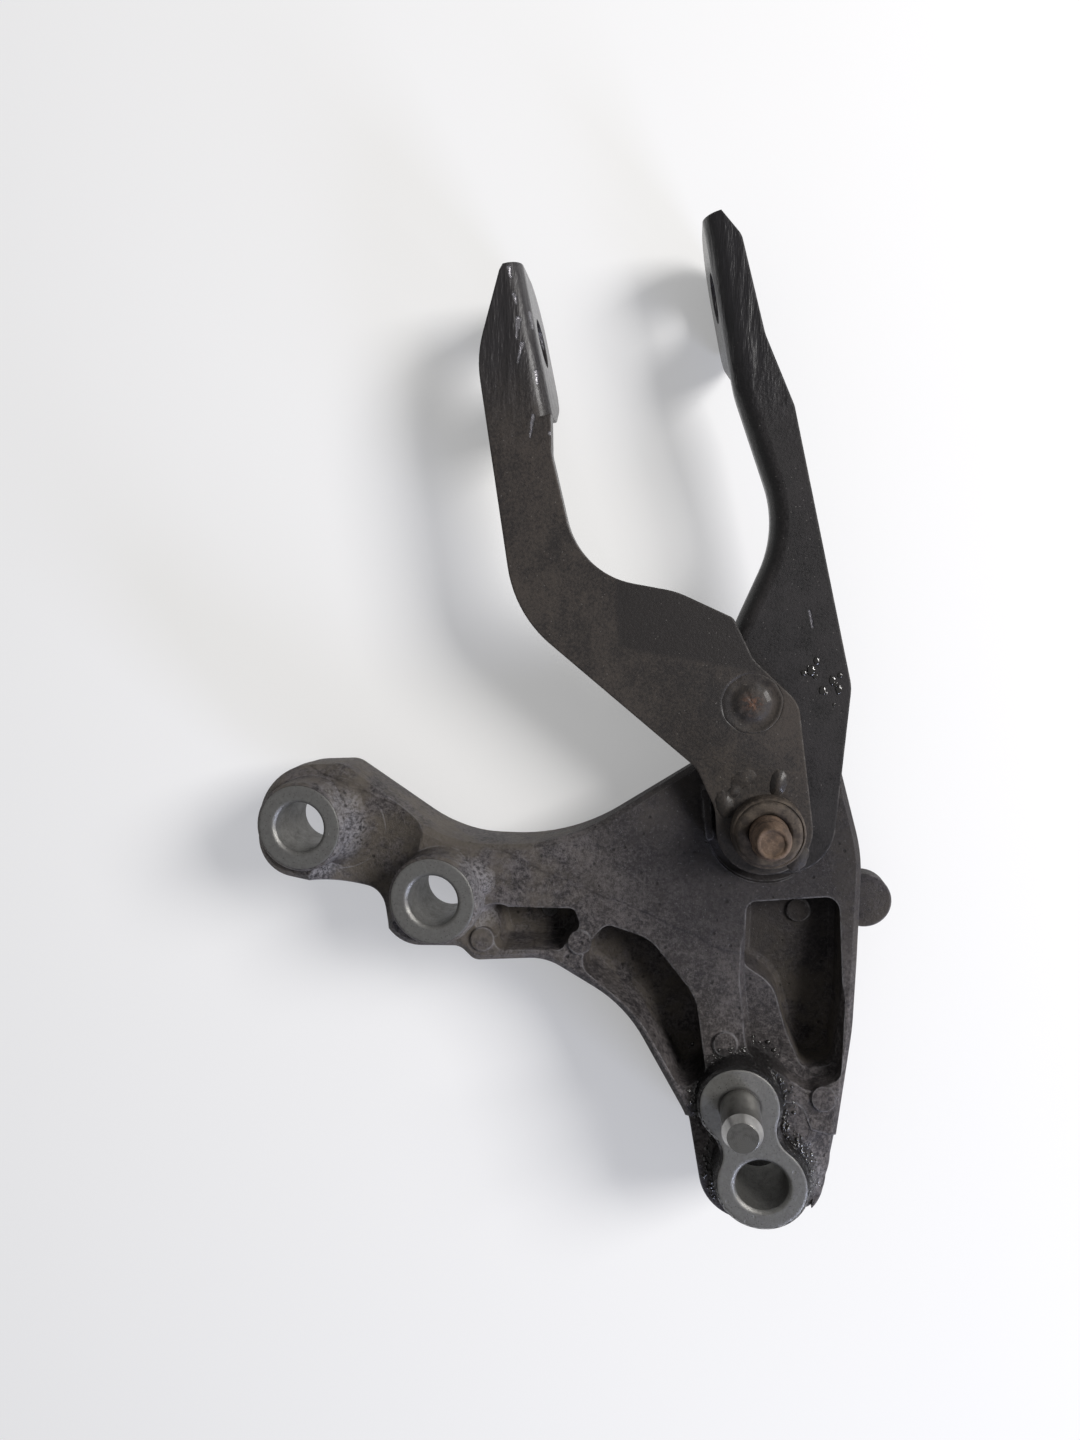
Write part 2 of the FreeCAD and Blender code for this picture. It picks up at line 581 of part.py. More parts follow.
nut_foot = -size("left_top_depth")
nut_top = nut_foot + size("nut_height")
nut_hole = size("thread_radius") + size("thread_clearance")
bevel = size("nut_bevel")
weld_nut = turned("weld_nut", straight_profile([
    (nut_hole, nut_foot), (size("nut_radius"), nut_foot), (size("nut_radius"), nut_top - bevel),
    (size("nut_radius") - bevel, nut_top), (nut_hole, nut_top),
]), "Sizes.fork_x", "Sizes.fork_y")

head_top = -size("rear_depth")
bolt_tip = nut_top + size("bolt_stickout")
recess = size("point_recess")
fork_bolt = turned("fork_bolt", straight_profile([
    (0, head_top - size("flange_height")), (size("flange_radius"), head_top - size("flange_height")),
    (size("flange_radius"), head_top), (size("thread_radius"), head_top), (size("thread_radius"), bolt_tip - size("point_length")),
    (size("point_radius"), bolt_tip), (size("point_radius") - recess, bolt_tip),
    (size("point_radius") - recess, bolt_tip - recess), (0, bolt_tip - recess),
]), "Sizes.fork_x", "Sizes.fork_y")
across_corners = size("head_across_flats") / math.cos(math.radians(30)) / 2
hexagon = [Vector(across_corners, 0, 0)]
for step in range(1, 6):
    hexagon.append(Rotation(Vector(0, 0, 1), 60 * step).multVec(hexagon[0]))
hex_sketch = add_sketch(
    fork_bolt, "bolt_head_plan", [Part.LineSegment(hexagon[step - 1], hexagon[step]) for step in range(6)],
    level="-Sizes.rear_depth - Sizes.head_height")
add_pad(fork_bolt, "bolt_head", hex_sketch, "Sizes.head_height - Sizes.flange_height")

nose_start = size("dowel_stickout") - size("dowel_nose_length")
grip_radius = size("dowel_grip_radius")
dowel_pin = turned("dowel_pin", straight_profile([
    (0, -size("dowel_grip")), (grip_radius, -size("dowel_grip")), (grip_radius, 0), (size("dowel_groove_radius"), 0),
    (size("dowel_groove_radius"), size("dowel_groove")), (size("dowel_radius"), size("dowel_groove")),
    (size("dowel_radius"), nose_start),
    (size("dowel_radius") - size("dowel_nose"), size("dowel_stickout")), (0, size("dowel_stickout")),
]), "Sizes.dowel_x", "Sizes.dowel_y")

rivet_low = -size("right_top_depth") - size("plate")
rivet_high = -size("left_top_depth") - size("dimple_depth")
head, shank, dome = size("rivet_head_radius"), size("rivet_radius"), size("rivet_dome")
crown = head / 2


arm_rivet = turned("arm_rivet", straight_profile([
    (0, rivet_low - dome), (crown, rivet_low - dome), (head, rivet_low), (shank, rivet_low),
    (shank, rivet_high), (head, rivet_high), (crown, rivet_high + dome), (0, rivet_high + dome),
]), "Sizes.rivet_x", "Sizes.rivet_y")

# The dimple round the rivet head in the left arm
dimple = doc.addObject("Part::Cone", "rivet_dimple")
bind(dimple, Radius1="Sizes.rivet_head_radius", Radius2="Sizes.dimple_radius", Height="Sizes.dimple_depth",
     Placement__Base__x="Sizes.rivet_x", Placement__Base__y="Sizes.rivet_y",
     Placement__Base__z="-Sizes.left_top_depth - Sizes.dimple_depth")
dimpled_arm = boolean("Part::Cut", "dimpled_arm", left_arm, dimple)

# Weld beads that hold the nut: low blunt mounds beside it, trimmed by the sheet and the nut
mounds = []
mound = size("mound_radius")
for number, (angle, reach_out) in enumerate([(77, 2.6), (115, 4.4), (152, 3.2), (318, 0.6)], start=1):
    place = fork + Rotation(Vector(0, 0, 1), angle).multVec(Vector(size("nut_radius") + reach_out, 0, 0))
    mounds.append(prism(f"weld_mound_{number}", [
        near(place, mound, 0, 0), near(place, mound / 2, mound, 0), near(place, -mound / 2, mound, 0),
        near(place, -mound, 0, 0), near(place, -mound / 2, -mound, 0), near(place, mound / 2, -mound, 0),
    ], "-Sizes.left_top_depth - 1", "Sizes.mound_height + 1", "-35"))
mound_group = boolean("Part::MultiFuse", "weld_mounds", *mounds)
below_sheet = doc.addObject("Part::Box", "below_sheet")
bind(below_sheet, Length="80", Width="80", Height="20", Placement__Base__x="Sizes.fork_x - 40",
     Placement__Base__y="Sizes.fork_y - 40", Placement__Base__z="-Sizes.left_top_depth - 20")
nut_block = cylinder("nut_block", "Sizes.fork_x", "Sizes.fork_y", "Sizes.nut_radius", "-30", "0")
weld_trim = boolean("Part::MultiFuse", "weld_trim", below_sheet, nut_block)
nut_weld = boolean("Part::Cut", "nut_weld", mound_group, weld_trim)

# Check every object, then write one file for each piece
PIECES = {
    "cast_bracket": cast_bracket, "left_arm": dimpled_arm, "right_arm": right_arm, "weld_nut": weld_nut,
    "nut_weld": nut_weld, "fork_bolt": fork_bolt, "dowel_pin": dowel_pin, "arm_rivet": arm_rivet,
}
doc.recompute()
for item in doc.Objects:
    if {"Invalid", "Error"} & set(item.State):
        raise RuntimeError(f"{item.Name}: {item.getStatusString()}")
os.makedirs("parts", exist_ok=True)
for label, piece in PIECES.items():
    piece.Label = label
    shape = piece.Shape
    if shape.isNull() or not shape.isValid():
        raise RuntimeError(f"{label} has no valid shape")
    shape.exportStep(f"parts/{label}.step")
    print(label, len(shape.Solids), "solids", round(shape.Volume), "mm3")
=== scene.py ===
"""Dresses the gearbox mount bracket: finishes for its solids, and pieces too fine for them."""
import logging
import math
from collections.abc import Sequence
from dataclasses import dataclass
from enum import Enum

import bpy
import numpy as np
from mathutils import Matrix, Vector


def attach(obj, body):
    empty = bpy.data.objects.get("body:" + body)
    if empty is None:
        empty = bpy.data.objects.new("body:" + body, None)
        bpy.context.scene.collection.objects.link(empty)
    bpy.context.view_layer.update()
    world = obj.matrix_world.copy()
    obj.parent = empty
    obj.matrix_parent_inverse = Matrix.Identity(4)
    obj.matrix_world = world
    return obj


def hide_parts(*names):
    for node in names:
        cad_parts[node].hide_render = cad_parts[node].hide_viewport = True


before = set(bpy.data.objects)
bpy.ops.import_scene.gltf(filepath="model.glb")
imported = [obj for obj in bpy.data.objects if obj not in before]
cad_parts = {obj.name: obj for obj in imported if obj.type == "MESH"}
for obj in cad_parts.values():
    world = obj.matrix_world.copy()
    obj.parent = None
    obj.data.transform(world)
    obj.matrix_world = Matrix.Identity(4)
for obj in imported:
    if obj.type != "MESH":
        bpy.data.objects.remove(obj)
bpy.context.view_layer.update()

LOG = logging.getLogger("bracket")
MM = 0.001
TURN = 2 * math.pi

Place = tuple[float, float]
Point = tuple[float, float, float]
Colour = tuple[float, float, float]
# Where a smooth step starts, and where it ends
Step = tuple[float, float]
# A mark's two ends in plan and its half width
Stroke = tuple[float, float, float, float, float]

# Places, radii and levels on the bracket, in millimetres, as the solids have them
OUTER_BOSS: Place = (-122.4, 88.9)
MIDDLE_BOSS: Place = (-86.0, 70.5)
LOWER_BOSS: Place = (0.0, 0.0)
DOWEL: Place = (-6.0, 20.6)
FORK_BOLT: Place = (0.0, 90.2)
RIVET: Place = (-4.6, 122.8)
BOSS_RADIUS = 12.0
DOWEL_BOSS_RADIUS = 10.7
LEFT_SHEET = -10.0
RIGHT_SHEET = -14.0
FLOOR_LEVEL = -39.0


class Slot(Enum):
    """The record's material slots, passed with the new pieces but not used for their finish."""

    CAST = "cast_alloy"
    PRESSED = "pressed_steel"
    RUSTY = "rusty_steel"


class Socket:
    """A number that changes over a surface; Python's operators on it add Math nodes."""

    def __init__(self, tree: bpy.types.NodeTree, output: bpy.types.NodeSocket) -> None:
        """Wraps one output of a node."""
        self.tree = tree
        self.output = output

    def math(self, operation: str, *others: "Socket | float",
             first: "Socket | float | None" = None) -> "Socket":
        """Adds one Math node.

        Args:
            operation: Blender's name of the operation.
            others: the values after the first.
            first: the first value, or None for this one.

        Returns:
            The node's result.
        """
        node = self.tree.nodes.new("ShaderNodeMath")
        node.operation = operation
        for index, value in enumerate((self if first is None else first, *others)):
            plug(node.inputs[index], value)
        return Socket(self.tree, node.outputs[0])

    def __add__(self, other: "Socket | float") -> "Socket":
        """Sum."""
        return self.math("ADD", other)

    __radd__ = __add__

    def __sub__(self, other: "Socket | float") -> "Socket":
        """Difference."""
        return self.math("SUBTRACT", other)

    def __rsub__(self, other: float) -> "Socket":
        """Difference from a number."""
        return self.math("SUBTRACT", self, first=other)

    def __mul__(self, other: "Socket | float") -> "Socket":
        """Product."""
        return self.math("MULTIPLY", other)

    __rmul__ = __mul__

    def __pow__(self, other: float) -> "Socket":
        """Power."""
        return self.math("POWER", other)

    def up_to(self, other: "Socket | float") -> "Socket":
        """The smaller of the two."""
        return self.math("MINIMUM", other)

    def at_least(self, other: "Socket | float") -> "Socket":
        """The larger of the two."""
        return self.math("MAXIMUM", other)

    def wave(self) -> "Socket":
        """Sine of the number."""
        return self.math("SINE")


def plug(target: bpy.types.NodeSocket, value: "Socket | float | Sequence[float]") -> None:
    """Links a value into a node's input, or sets it there.

    Args:
        target: the input.
        value: a socket, a number, or a vector or colour.
    """
    if isinstance(value, Socket):
        value.tree.links.new(value.output, target)
    else:
        target.default_value = value


class Recipe:
    """One material's node tree, with the few kinds of node that the finishes use."""

    def __init__(self, name: str) -> None:
        """Starts an empty material, on which places are read in millimetres.

        Args:
            name: the material's name.
        """
        self.material = bpy.data.materials.new(name)
        self.material.use_nodes = True
        self.tree = self.material.node_tree
        self.tree.nodes.clear()
        here = self.out(self.node("TexCoord"), "Object")
        scaled = self.node("VectorMath", {"operation": "SCALE"}, {0: here, "Scale": 1 / MM})
        self.point = self.out(scaled, 0)
        split = self.node("SeparateXYZ", {}, {0: self.point})
        self.x, self.y, self.z = (self.out(split, axis) for axis in range(3))
        self.face = self.out(self.node("NewGeometry"), "True Normal")
        facing = self.node("SeparateXYZ", {}, {0: self.face})
        self.facing_right, self.facing_up = self.out(facing, 0), self.out(facing, 2)

    def node(self, kind: str, settings: dict[str, object] | None = None,
             values: dict[str | int, object] | None = None) -> bpy.types.Node:
        """Adds any node.

        Args:
            kind: the node's type without its ShaderNode prefix.
            settings: properties set first.
            values: numbers, vectors or sockets for its inputs.

        Returns:
            The node.
        """
        made = self.tree.nodes.new("ShaderNode" + kind)
        for key, value in (settings or {}).items():
            setattr(made, key, value)
        for key, value in (values or {}).items():
            plug(made.inputs[key], value)
        return made

    def out(self, node: bpy.types.Node, name: str | int) -> Socket:
        """One output of a node as a socket."""
        return Socket(self.tree, node.outputs[name])

    def noise(self, size: float, detail: float = 2.0, roughness: float = 0.5,
              stretch: Point = (1, 1, 1), shift: float = 0.0) -> Socket:
        """Cloudy noise from 0 to 1.

        Args:
            size: size of its largest spots in millimetres.
            detail: octaves of finer noise.
            roughness: weight of the finer octaves.
            stretch: how much finer it is along each axis.
            shift: distance by which the pattern is moved, so that two of them differ.

        Returns:
            The noise.
        """
        mapped = self.node("Mapping", {}, {
            "Vector": self.point, "Location": (shift, shift * 0.7, 0), "Scale": stretch})
        made = self.node("TexNoise", {}, {
            "Vector": self.out(mapped, 0), "Scale": 1 / size, "Detail": detail,
            "Roughness": roughness})
        return self.out(made, 0)

    def specks(self, size: float, share: float, softness: float) -> Socket:
        """Round specks, 1 inside: size is their spacing, share and softness are shares of it."""
        made = self.node("TexVoronoi", {}, {"Vector": self.point, "Scale": 1 / size})
        return self.ramp(self.out(made, "Distance"), share + softness, share)

    def ramp(self, value: Socket, low: float, high: float) -> Socket:
        """A smooth step from 0 at low to 1 at high, which may be the smaller number."""
        made = self.node("MapRange", {"interpolation_type": "SMOOTHSTEP"}, {
            "Value": value, "From Min": low, "From Max": high})
        return self.out(made, 0)

    def mix(self, factor: "Socket | float", first: "Socket | Colour",
            second: "Socket | Colour") -> Socket:
        """Blends two colours.

        Args:
            factor: 0 for the first, 1 for the second.
            first: a colour.
            second: a colour.

        Returns:
            The blend.
        """
        made = self.node("Mix", {"data_type": "RGBA"})
        plug(made.inputs[0], factor)
        for index, colour in ((6, first), (7, second)):
            plug(made.inputs[index], colour if isinstance(colour, Socket) else (*colour, 1))
        return self.out(made, 2)

    def from_axis(self, centre: Place) -> Socket:
        """Distance in plan from an upright axis through a place."""
        return ((self.x - centre[0]) ** 2 + (self.y - centre[1]) ** 2) ** 0.5

    def strokes(self, lines: Sequence[Stroke], wander: Socket, softness: float) -> Socket:
        """Short marks in plan, each a stroke that narrows towards its second end.

        Args:
            lines: the marks, in millimetres.
            wander: a number added to the distance, so that the edges aren't clean.
            softness: width of the soft edge in millimetres.

        Returns:
            A mask, 1 in the marks.
        """
        mask = None
        for x0, y0, x1, y1, half in lines:
            run_x, run_y = x1 - x0, y1 - y0
            square = run_x ** 2 + run_y ** 2
            along = (self.x - x0) * (run_x / square) + (self.y - y0) * (run_y / square)
            along = along.at_least(0.0).up_to(1.0)
            off_x, off_y = self.x - x0 - along * run_x, self.y - y0 - along * run_y
            gap = (off_x ** 2 + off_y ** 2) ** 0.5
            mark = self.ramp(gap + wander + along * half, half + softness, half)
            mask = mark if mask is None else mask.at_least(mark)
        return mask

    def soft_normal(self, radius: float) -> Socket:
        """The surface's normal with its edges rounded to a radius in millimetres."""
        return self.out(self.node("Bevel", {"samples": 6}, {"Radius": radius * MM}), 0)

    def worn_edge(self, rounded: Socket) -> Socket:
        """Where the rounded normal leaves the face's own: 0 on faces, 1 on edges."""
        made = self.node("VectorMath", {"operation": "DOT_PRODUCT"}, {0: rounded, 1: self.face})
        return self.ramp(1 - self.out(made, "Value"), 0.03, 0.28)

    def bump(self, height: Socket, depth: float, normal: Socket, strength: float) -> Socket:
        """The normal with a relief from 0 to 1 laid on it, its depth in millimetres."""
        made = self.node("Bump", {}, {
            "Strength": strength, "Distance": depth * MM, "Height": height, "Normal": normal})
        return self.out(made, 0)

    def surface(self, base: Socket, metallic: "Socket | float", roughness: "Socket | float",
                normal: Socket, coat: "Socket | float" = 0.0, coat_roughness: float = 0.2,
                specular: float = 0.28) -> bpy.types.Material:
        """Ends the tree in one shader.

        Args:
            base: colour.
            metallic: 0 for paint and dirt, 1 for bare metal.
            roughness: roughness.
            normal: normal.
            coat: weight of a film of oil on top.
            coat_roughness: roughness of that film.
            specular: reflection level of what isn't metal.

        Returns:
            The finished material.
        """
        shader = self.node("BsdfPrincipled", {}, {
            "Base Color": base, "Metallic": metallic, "Roughness": roughness, "Normal": normal,
            "Coat Weight": coat, "Coat Roughness": coat_roughness,
            "Specular IOR Level": specular})
        self.node("OutputMaterial", {}, {"Surface": self.out(shader, 0)})
        return self.material


@dataclass(frozen=True)
class CastSkin:
    """The casting's dull skin, its machined faces and bores, the grime at the lower boss, and
    painted shade and highlights.

    Steps are in millimetres: across x or z, or by the distance from an axis or a wall.
    """

    name: str = "cast_skin"
    # Dark end of the skin's tone, also the colour of the painted shadow round the fork's seat
    dark: Colour = (0.022, 0.0195, 0.021)
    light: Colour = (0.128, 0.116, 0.117)
    dust: Colour = (0.104, 0.090, 0.075)
    machined: Colour = (0.262, 0.262, 0.250)
    grime: Colour = (0.007, 0.006, 0.006)
    # Pale colour of worn edges, also used for the painted highlight on the bosses' roots and for
    # painted glints
    worn: Colour = (0.360, 0.355, 0.375)
    far_dust: Step = (-30.0, -80.0)
    pocket_dust: Step = (-14.0, -18.0)
    fork_shade: Step = (62.0, 22.0)
    root_highlight_radius: Step = (19.5, 15.5)
    root_highlight_level: Step = (-15.0, -12.0)
    face_level: Step = (-0.14, -0.05)
    mouth_radius: Step = (7.75, 7.6)
    bore_bottom: Step = (-20.6, -20.4)
    crust_reach: Step = (5.0, 2.6)
    crust_level: Step = (-20.0, -13.0)
    seam_place: Place = (-40.0, 70.0)
    seam_across: Place = (0.376, 0.927)
    seam_level: Step = (-24.0, -20.0)

    def material(self) -> bpy.types.Material:
        """The material, with each region found from its place on the casting.

        Returns:
            The finished material.
        """
        r = Recipe(self.name)
        grain = r.noise(1.0, 6, 0.85)
        lumps = r.noise(2.2, 4, 0.7, shift=25)
        mottle = r.noise(6.0, 4, 0.6)
        cloud = r.noise(30.0, 3, 0.5)
        pits = r.specks(4.1, 0.08, 0.05)
        rounded = r.soft_normal(1.1)
        worn = r.worn_edge(rounded) * r.ramp(r.noise(5.0, 4, 0.7, shift=40), 0.34, 0.60)
        # Painted glints: pale specks on faces that look upwards
        painted_glints = r.ramp(r.noise(0.8, 5, 0.85, shift=55), 0.60, 0.70)
        painted_glints = painted_glints * r.ramp(r.facing_up, 0.3, 0.8)
        outer, middle, lower = (
            r.from_axis(boss) for boss in (OUTER_BOSS, MIDDLE_BOSS, LOWER_BOSS))
        bosses = outer.up_to(middle).up_to(lower)

        uneven = mottle * 0.12 + cloud * 0.14 + lumps * 0.18 + grain * 0.56
        skin = r.mix(r.ramp(uneven, 0.43, 0.58), self.dark, self.light)
        # Brown dust gathers by the far bosses and in the pockets
        dusty = r.ramp(r.x, *self.far_dust).at_least(r.ramp(r.z, *self.pocket_dust)) * 0.7 + 0.12
        skin = r.mix(dusty * r.ramp(r.noise(11.0, 5, 0.7, shift=90), 0.40, 0.62), skin, self.dust)
        # Painted shadow of the fork, with some grime: the web is darker round the fork's seat
        fork_shadow_and_grime = r.ramp(r.from_axis(FORK_BOLT) + (mottle - 0.5) * 14.0, *self.fork_shade)
        skin = r.mix(fork_shadow_and_grime * 0.8, skin, self.dark)
        # Painted highlight: the roots of the bosses are paler on the side that faces right, in the
        # pale worn colour
        root = r.ramp(bosses + mottle * 4.0, *self.root_highlight_radius)
        root = root * r.ramp(r.facing_right, 0.25, 0.75) * r.ramp(r.z, *self.root_highlight_level)
        skin = r.mix(root * r.ramp(grain, 0.38, 0.60) * 0.42, skin, self.worn)
        skin = r.mix(pits * 0.6, skin, self.grime)
        # Painted glints, then worn edges, both in the pale worn colour
        skin = r.mix(painted_glints * 0.40, skin, self.worn)
        skin = r.mix(worn * 0.6, skin, self.worn)

        # Machined faces lie at the top of the bosses; bores and their mouths round three axes
        face = r.ramp(r.z, *self.face_level)
        bores = r.ramp(bosses, *self.mouth_radius)
        cut = face.at_least(bores * r.ramp(r.z, *self.bore_bottom))
        turned = (r.z * 17.0).wave() * 0.5 + 0.5
        dull = r.ramp(lumps * 0.5 + grain * 0.5, 0.36, 0.66) * 0.5
        bright = r.mix(dull, self.machined, self.light)
        bright = r.mix(r.specks(0.8, 0.11, 0.08) * 0.6, bright, self.dark)

        # Oily crust in a band round the lower boss and its dowel lobe
        lobes = (lower - BOSS_RADIUS).up_to(r.from_axis(DOWEL) - DOWEL_BOSS_RADIUS)
        crumbs = r.noise(1.1, 5, 0.8, shift=12)
        band = r.ramp(lobes + crumbs * 4.0, *self.crust_reach) * (1 - cut)
        band = band * r.ramp(r.z, *self.crust_level)
        wet = band * r.ramp(crumbs, 0.44, 0.54)

        base = r.mix(cut, skin, bright)
        base = r.mix(band * 0.92, base, self.grime)
        rough = (grain * 0.55 + lumps * 0.45 - pits * 0.3) * (1 - cut * 0.85)
        relief = r.bump(rough, 1.0, rounded, 0.9)
        # A low wandering step crosses the web
        across = ((r.x - self.seam_place[0]) * self.seam_across[0]
                  + (r.y - self.seam_place[1]) * self.seam_across[1])
        seam = r.ramp(across + (r.noise(9.0, 2) - 0.5) * 3.0, -0.35, 0.35)
        relief = r.bump(seam * r.ramp(r.z, *self.seam_level), 0.35, relief, 0.8)
        relief = r.bump(crumbs * band, 1.6, relief, 1.0)
        relief = r.bump(turned * cut * (1 - face), 0.02, relief, 0.5)
        roughness = 0.54 - cut * 0.1 + (lumps - 0.5) * 0.3 - wet * 0.25
        return r.surface(base, cut * 0.8, roughness, relief, wet * 0.95, 0.10, 0.22)


@dataclass(frozen=True)
class PressedPaint:
    """Dusty worn paint on a pressed arm, with scratch marks that are partly painted highlights,
    and perhaps one wiped patch.

    Steps are in millimetres: across x or y, or by the distance from an axis.
    """

    name: str
    paint: Colour
    dust: Colour
    dustiness: float
    marks: tuple[Stroke, ...]
    wiped: bool = False
    worn: Colour = (0.170, 0.158, 0.150)
    # Pale colour of the scratches; on the left pad's bend they are partly painted highlights
    bare: Colour = (0.270, 0.262, 0.280)
    rubbed: Colour = (0.014, 0.013, 0.016)
    rust: Colour = (0.120, 0.058, 0.034)
    rubbed_end: Step = (186.0, 214.0)
    rust_radius: Step = (6.4, 3.0)
    patch_left: Step = (-39.6, -38.2)
    patch_right: Step = (9.0, 2.0)
    patch_low: Step = (136.0, 137.8)
    patch_slope: float = 0.17

    def patch(self, r: Recipe, mottle: Socket) -> Socket:
        """The wiped patch, whose lower edge slopes from its left end.

        Args:
            r: the material's recipe.
            mottle: noise that unsettles its edges.

        Returns:
            A mask, 1 in the patch.
        """
        edge = (mottle - 0.5) * 5.0
        rise = r.y + (r.x + 39.0) * self.patch_slope + edge * 0.6
        inside = r.ramp(r.x + edge, *self.patch_left) * r.ramp(rise, *self.patch_low)
        return inside * r.ramp(r.x + edge, *self.patch_right)

    def material(self) -> bpy.types.Material:
        """The material.

        Returns:
            The finished material.
        """
        r = Recipe(self.name)
        grain = r.noise(0.7, 5, 0.75)
        mottle = r.noise(4.0, 5, 0.65)
        cloud = r.noise(24.0, 3, 0.55, shift=15)
        brushed = r.noise(3.0, 3, 0.6, (1.0, 0.25, 1.0), 60)
        rounded = r.soft_normal(0.8)
        worn = r.worn_edge(rounded) * r.ramp(r.noise(2.6, 3, 0.65, shift=33), 0.42, 0.62)
        flat = r.ramp(r.facing_up, 0.80, 0.97)

        uneven = mottle * 0.2 + cloud * 0.3 + brushed * 0.1 + grain * 0.4
        cover = r.ramp(uneven, 0.40, 0.60) * self.dustiness
        if self.wiped:
            cover = cover * (1 - self.patch(r, mottle) * 0.92)
        # Towards the clevis pads the dust is rubbed off and the paint is smooth and streaked
        rubbed = r.ramp(r.y + (mottle - 0.5) * 30.0, *self.rubbed_end)
        streaks = r.noise(2.4, 3, 0.6, (1.0, 0.16, 1.0), 80)
        cover = cover * (flat * 0.8 + 0.2) * (1 - rubbed * 0.7)
        base = r.mix(cover, self.paint, self.dust)
        chips = r.specks(1.5, 0.07, 0.05) * r.ramp(brushed, 0.42, 0.58)
        base = r.mix(chips * 0.55, base, self.worn)
        base = r.mix(worn * 0.7, base, self.worn)
        rust = r.ramp(r.from_axis(RIVET) + mottle * 5.0, *self.rust_radius)
        rust = rust * r.ramp(r.noise(1.6, 4, 0.7), 0.42, 0.62)
        base = r.mix(rust * 0.75, base, self.rust)
        base = r.mix(rubbed * 0.5, base, self.rubbed)
        # Scratches on faces that look upwards; on the left pad's bend they are partly painted
        # highlights
        wander = (r.noise(1.0, 4, 0.75) - 0.5) * 1.1
        scratches_and_highlights = r.strokes(self.marks, wander, 0.45) * r.ramp(r.facing_up, 0.25, 0.50)
        base = r.mix(scratches_and_highlights * 0.7, base, self.bare)
        relief = (grain * 0.6 + mottle * 0.4) * (1 - rubbed * 0.6)
        relief = r.bump(relief, 0.30, rounded, 0.7)
        relief = r.bump(streaks * rubbed, 0.9, relief, 0.9)
        relief = r.bump(1 - scratches_and_highlights, 0.35, relief, 0.9)
        roughness = (0.44 + cover * 0.25 - scratches_and_highlights * 0.15 + (grain - 0.5) * 0.3
                     - rubbed * 0.08)
        film = ((1 - flat) * 0.35).at_least(rubbed * 0.55)
        return r.surface(base, scratches_and_highlights * 0.6, roughness, relief, film, 0.22)


LEFT_PAINT = PressedPaint(
    name="left_arm_paint", paint=(0.0230, 0.0205, 0.0200), dust=(0.056, 0.0465, 0.0395),
    dustiness=0.95, wiped=True, marks=(
        # Scratches on the left pad's bend, partly painted highlights
        (-66.9, 232.2, -66.4, 229.8, 0.22), (-65.6, 225.6, -64.9, 223.4, 0.16),
        (-64.5, 219.4, -64.9, 214.8, 0.50), (-63.4, 213.4, -64.6, 209.0, 0.34),
        (-61.9, 221.6, -61.2, 218.0, 0.14), (-60.2, 206.6, -59.8, 203.6, 0.28),
        (-60.7, 195.4, -61.4, 190.4, 0.20), (-56.4, 191.2, -55.2, 189.4, 0.16)))
RIGHT_PAINT = PressedPaint(
    name="right_arm_paint", paint=(0.0085, 0.0078, 0.0082), dust=(0.030, 0.027, 0.0275),
    dustiness=0.8, marks=(
        (9.4, 146.0, 10.2, 142.0, 0.08), (18.6, 158.0, 19.6, 152.0, 0.10)))


@dataclass(frozen=True)
class Rust:
    """Brown rusted steel, pitted and scaly."""

    name: str
    brown: Colour
    dark: Colour
    pale: Colour

    def material(self) -> bpy.types.Material:
        """The material.

        Returns:
            The finished material.
        """
        r = Recipe(self.name)
        grain = r.noise(0.35, 4, 0.7)
        mottle = r.noise(2.4, 4, 0.65)
        rounded = r.soft_normal(0.3)
        scale = grain * 0.6 + mottle * 0.4
        base = r.mix(r.ramp(mottle, 0.38, 0.60), self.dark, self.brown)
        base = r.mix(r.ramp(scale, 0.52, 0.70) * 0.75, base, self.pale)
        base = r.mix(r.worn_edge(rounded) * 0.6, base, self.pale)
        relief = r.bump(scale, 0.14, rounded, 0.9)
        return r.surface(base, 0.15, 0.72 + (mottle - 0.5) * 0.3, relief)


BOLT_RUST = Rust(
    name="bolt_rust", brown=(0.122, 0.082, 0.058), dark=(0.072, 0.050, 0.037),
    pale=(0.220, 0.162, 0.120))
NUT_RUST = Rust(
    name="nut_rust", brown=(0.082, 0.066, 0.053), dark=(0.042, 0.034, 0.029),
    pale=(0.150, 0.124, 0.100))


@dataclass(frozen=True)
class GroundSteel:
    """Ground steel of the dowel, with turning marks on its end and a dirty foot."""

    name: str = "ground_steel"
    steel: Colour = (0.330, 0.325, 0.315)
    stain: Colour = (0.075, 0.070, 0.064)
    end_level: Step = (14.3, 14.45)
    foot_level: Step = (4.0, 0.5)

    def material(self) -> bpy.types.Material:
        """The material.

        Returns:
            The finished material.
        """
        r = Recipe(self.name)
        mottle = r.noise(2.2, 4, 0.6)
        rings = (r.from_axis(DOWEL) * 14.0 + mottle * 2.0).wave() * 0.5 + 0.5
        fine = r.noise(0.25, 2, 0.6, (1, 1, 0.2))
        end = r.ramp(r.z, *self.end_level)
        foot = r.ramp(r.z + mottle * 2.0, *self.foot_level)
        stained = r.ramp(mottle, 0.42, 0.68) * 0.28 + end * 0.30
        base = r.mix(stained, self.steel, self.stain)
        base = r.mix(foot * 0.75, base, self.stain)
        relief = r.bump(rings * end + fine * 0.4, 0.03, r.soft_normal(0.2), 0.6)
        roughness = 0.30 + foot * 0.2 + (mottle - 0.5) * 0.12
        return r.surface(base, 0.9, roughness, relief, specular=0.5)


@dataclass(frozen=True)
class OilDrop:
    """Black wet oil."""

    name: str
    oil: Colour
    thin: Colour = (0.02, 0.018, 0.016)

    def material(self) -> bpy.types.Material:
        """The material.

        Returns:
            The finished material.
        """
        r = Recipe(self.name)
        base = r.mix(r.noise(0.8), self.oil, self.thin)
        relief = r.bump(r.noise(0.9), 0.05, r.soft_normal(0.1), 0.5)
        return r.surface(base, 0.0, 0.10, relief, 1.0, 0.05, 0.6)


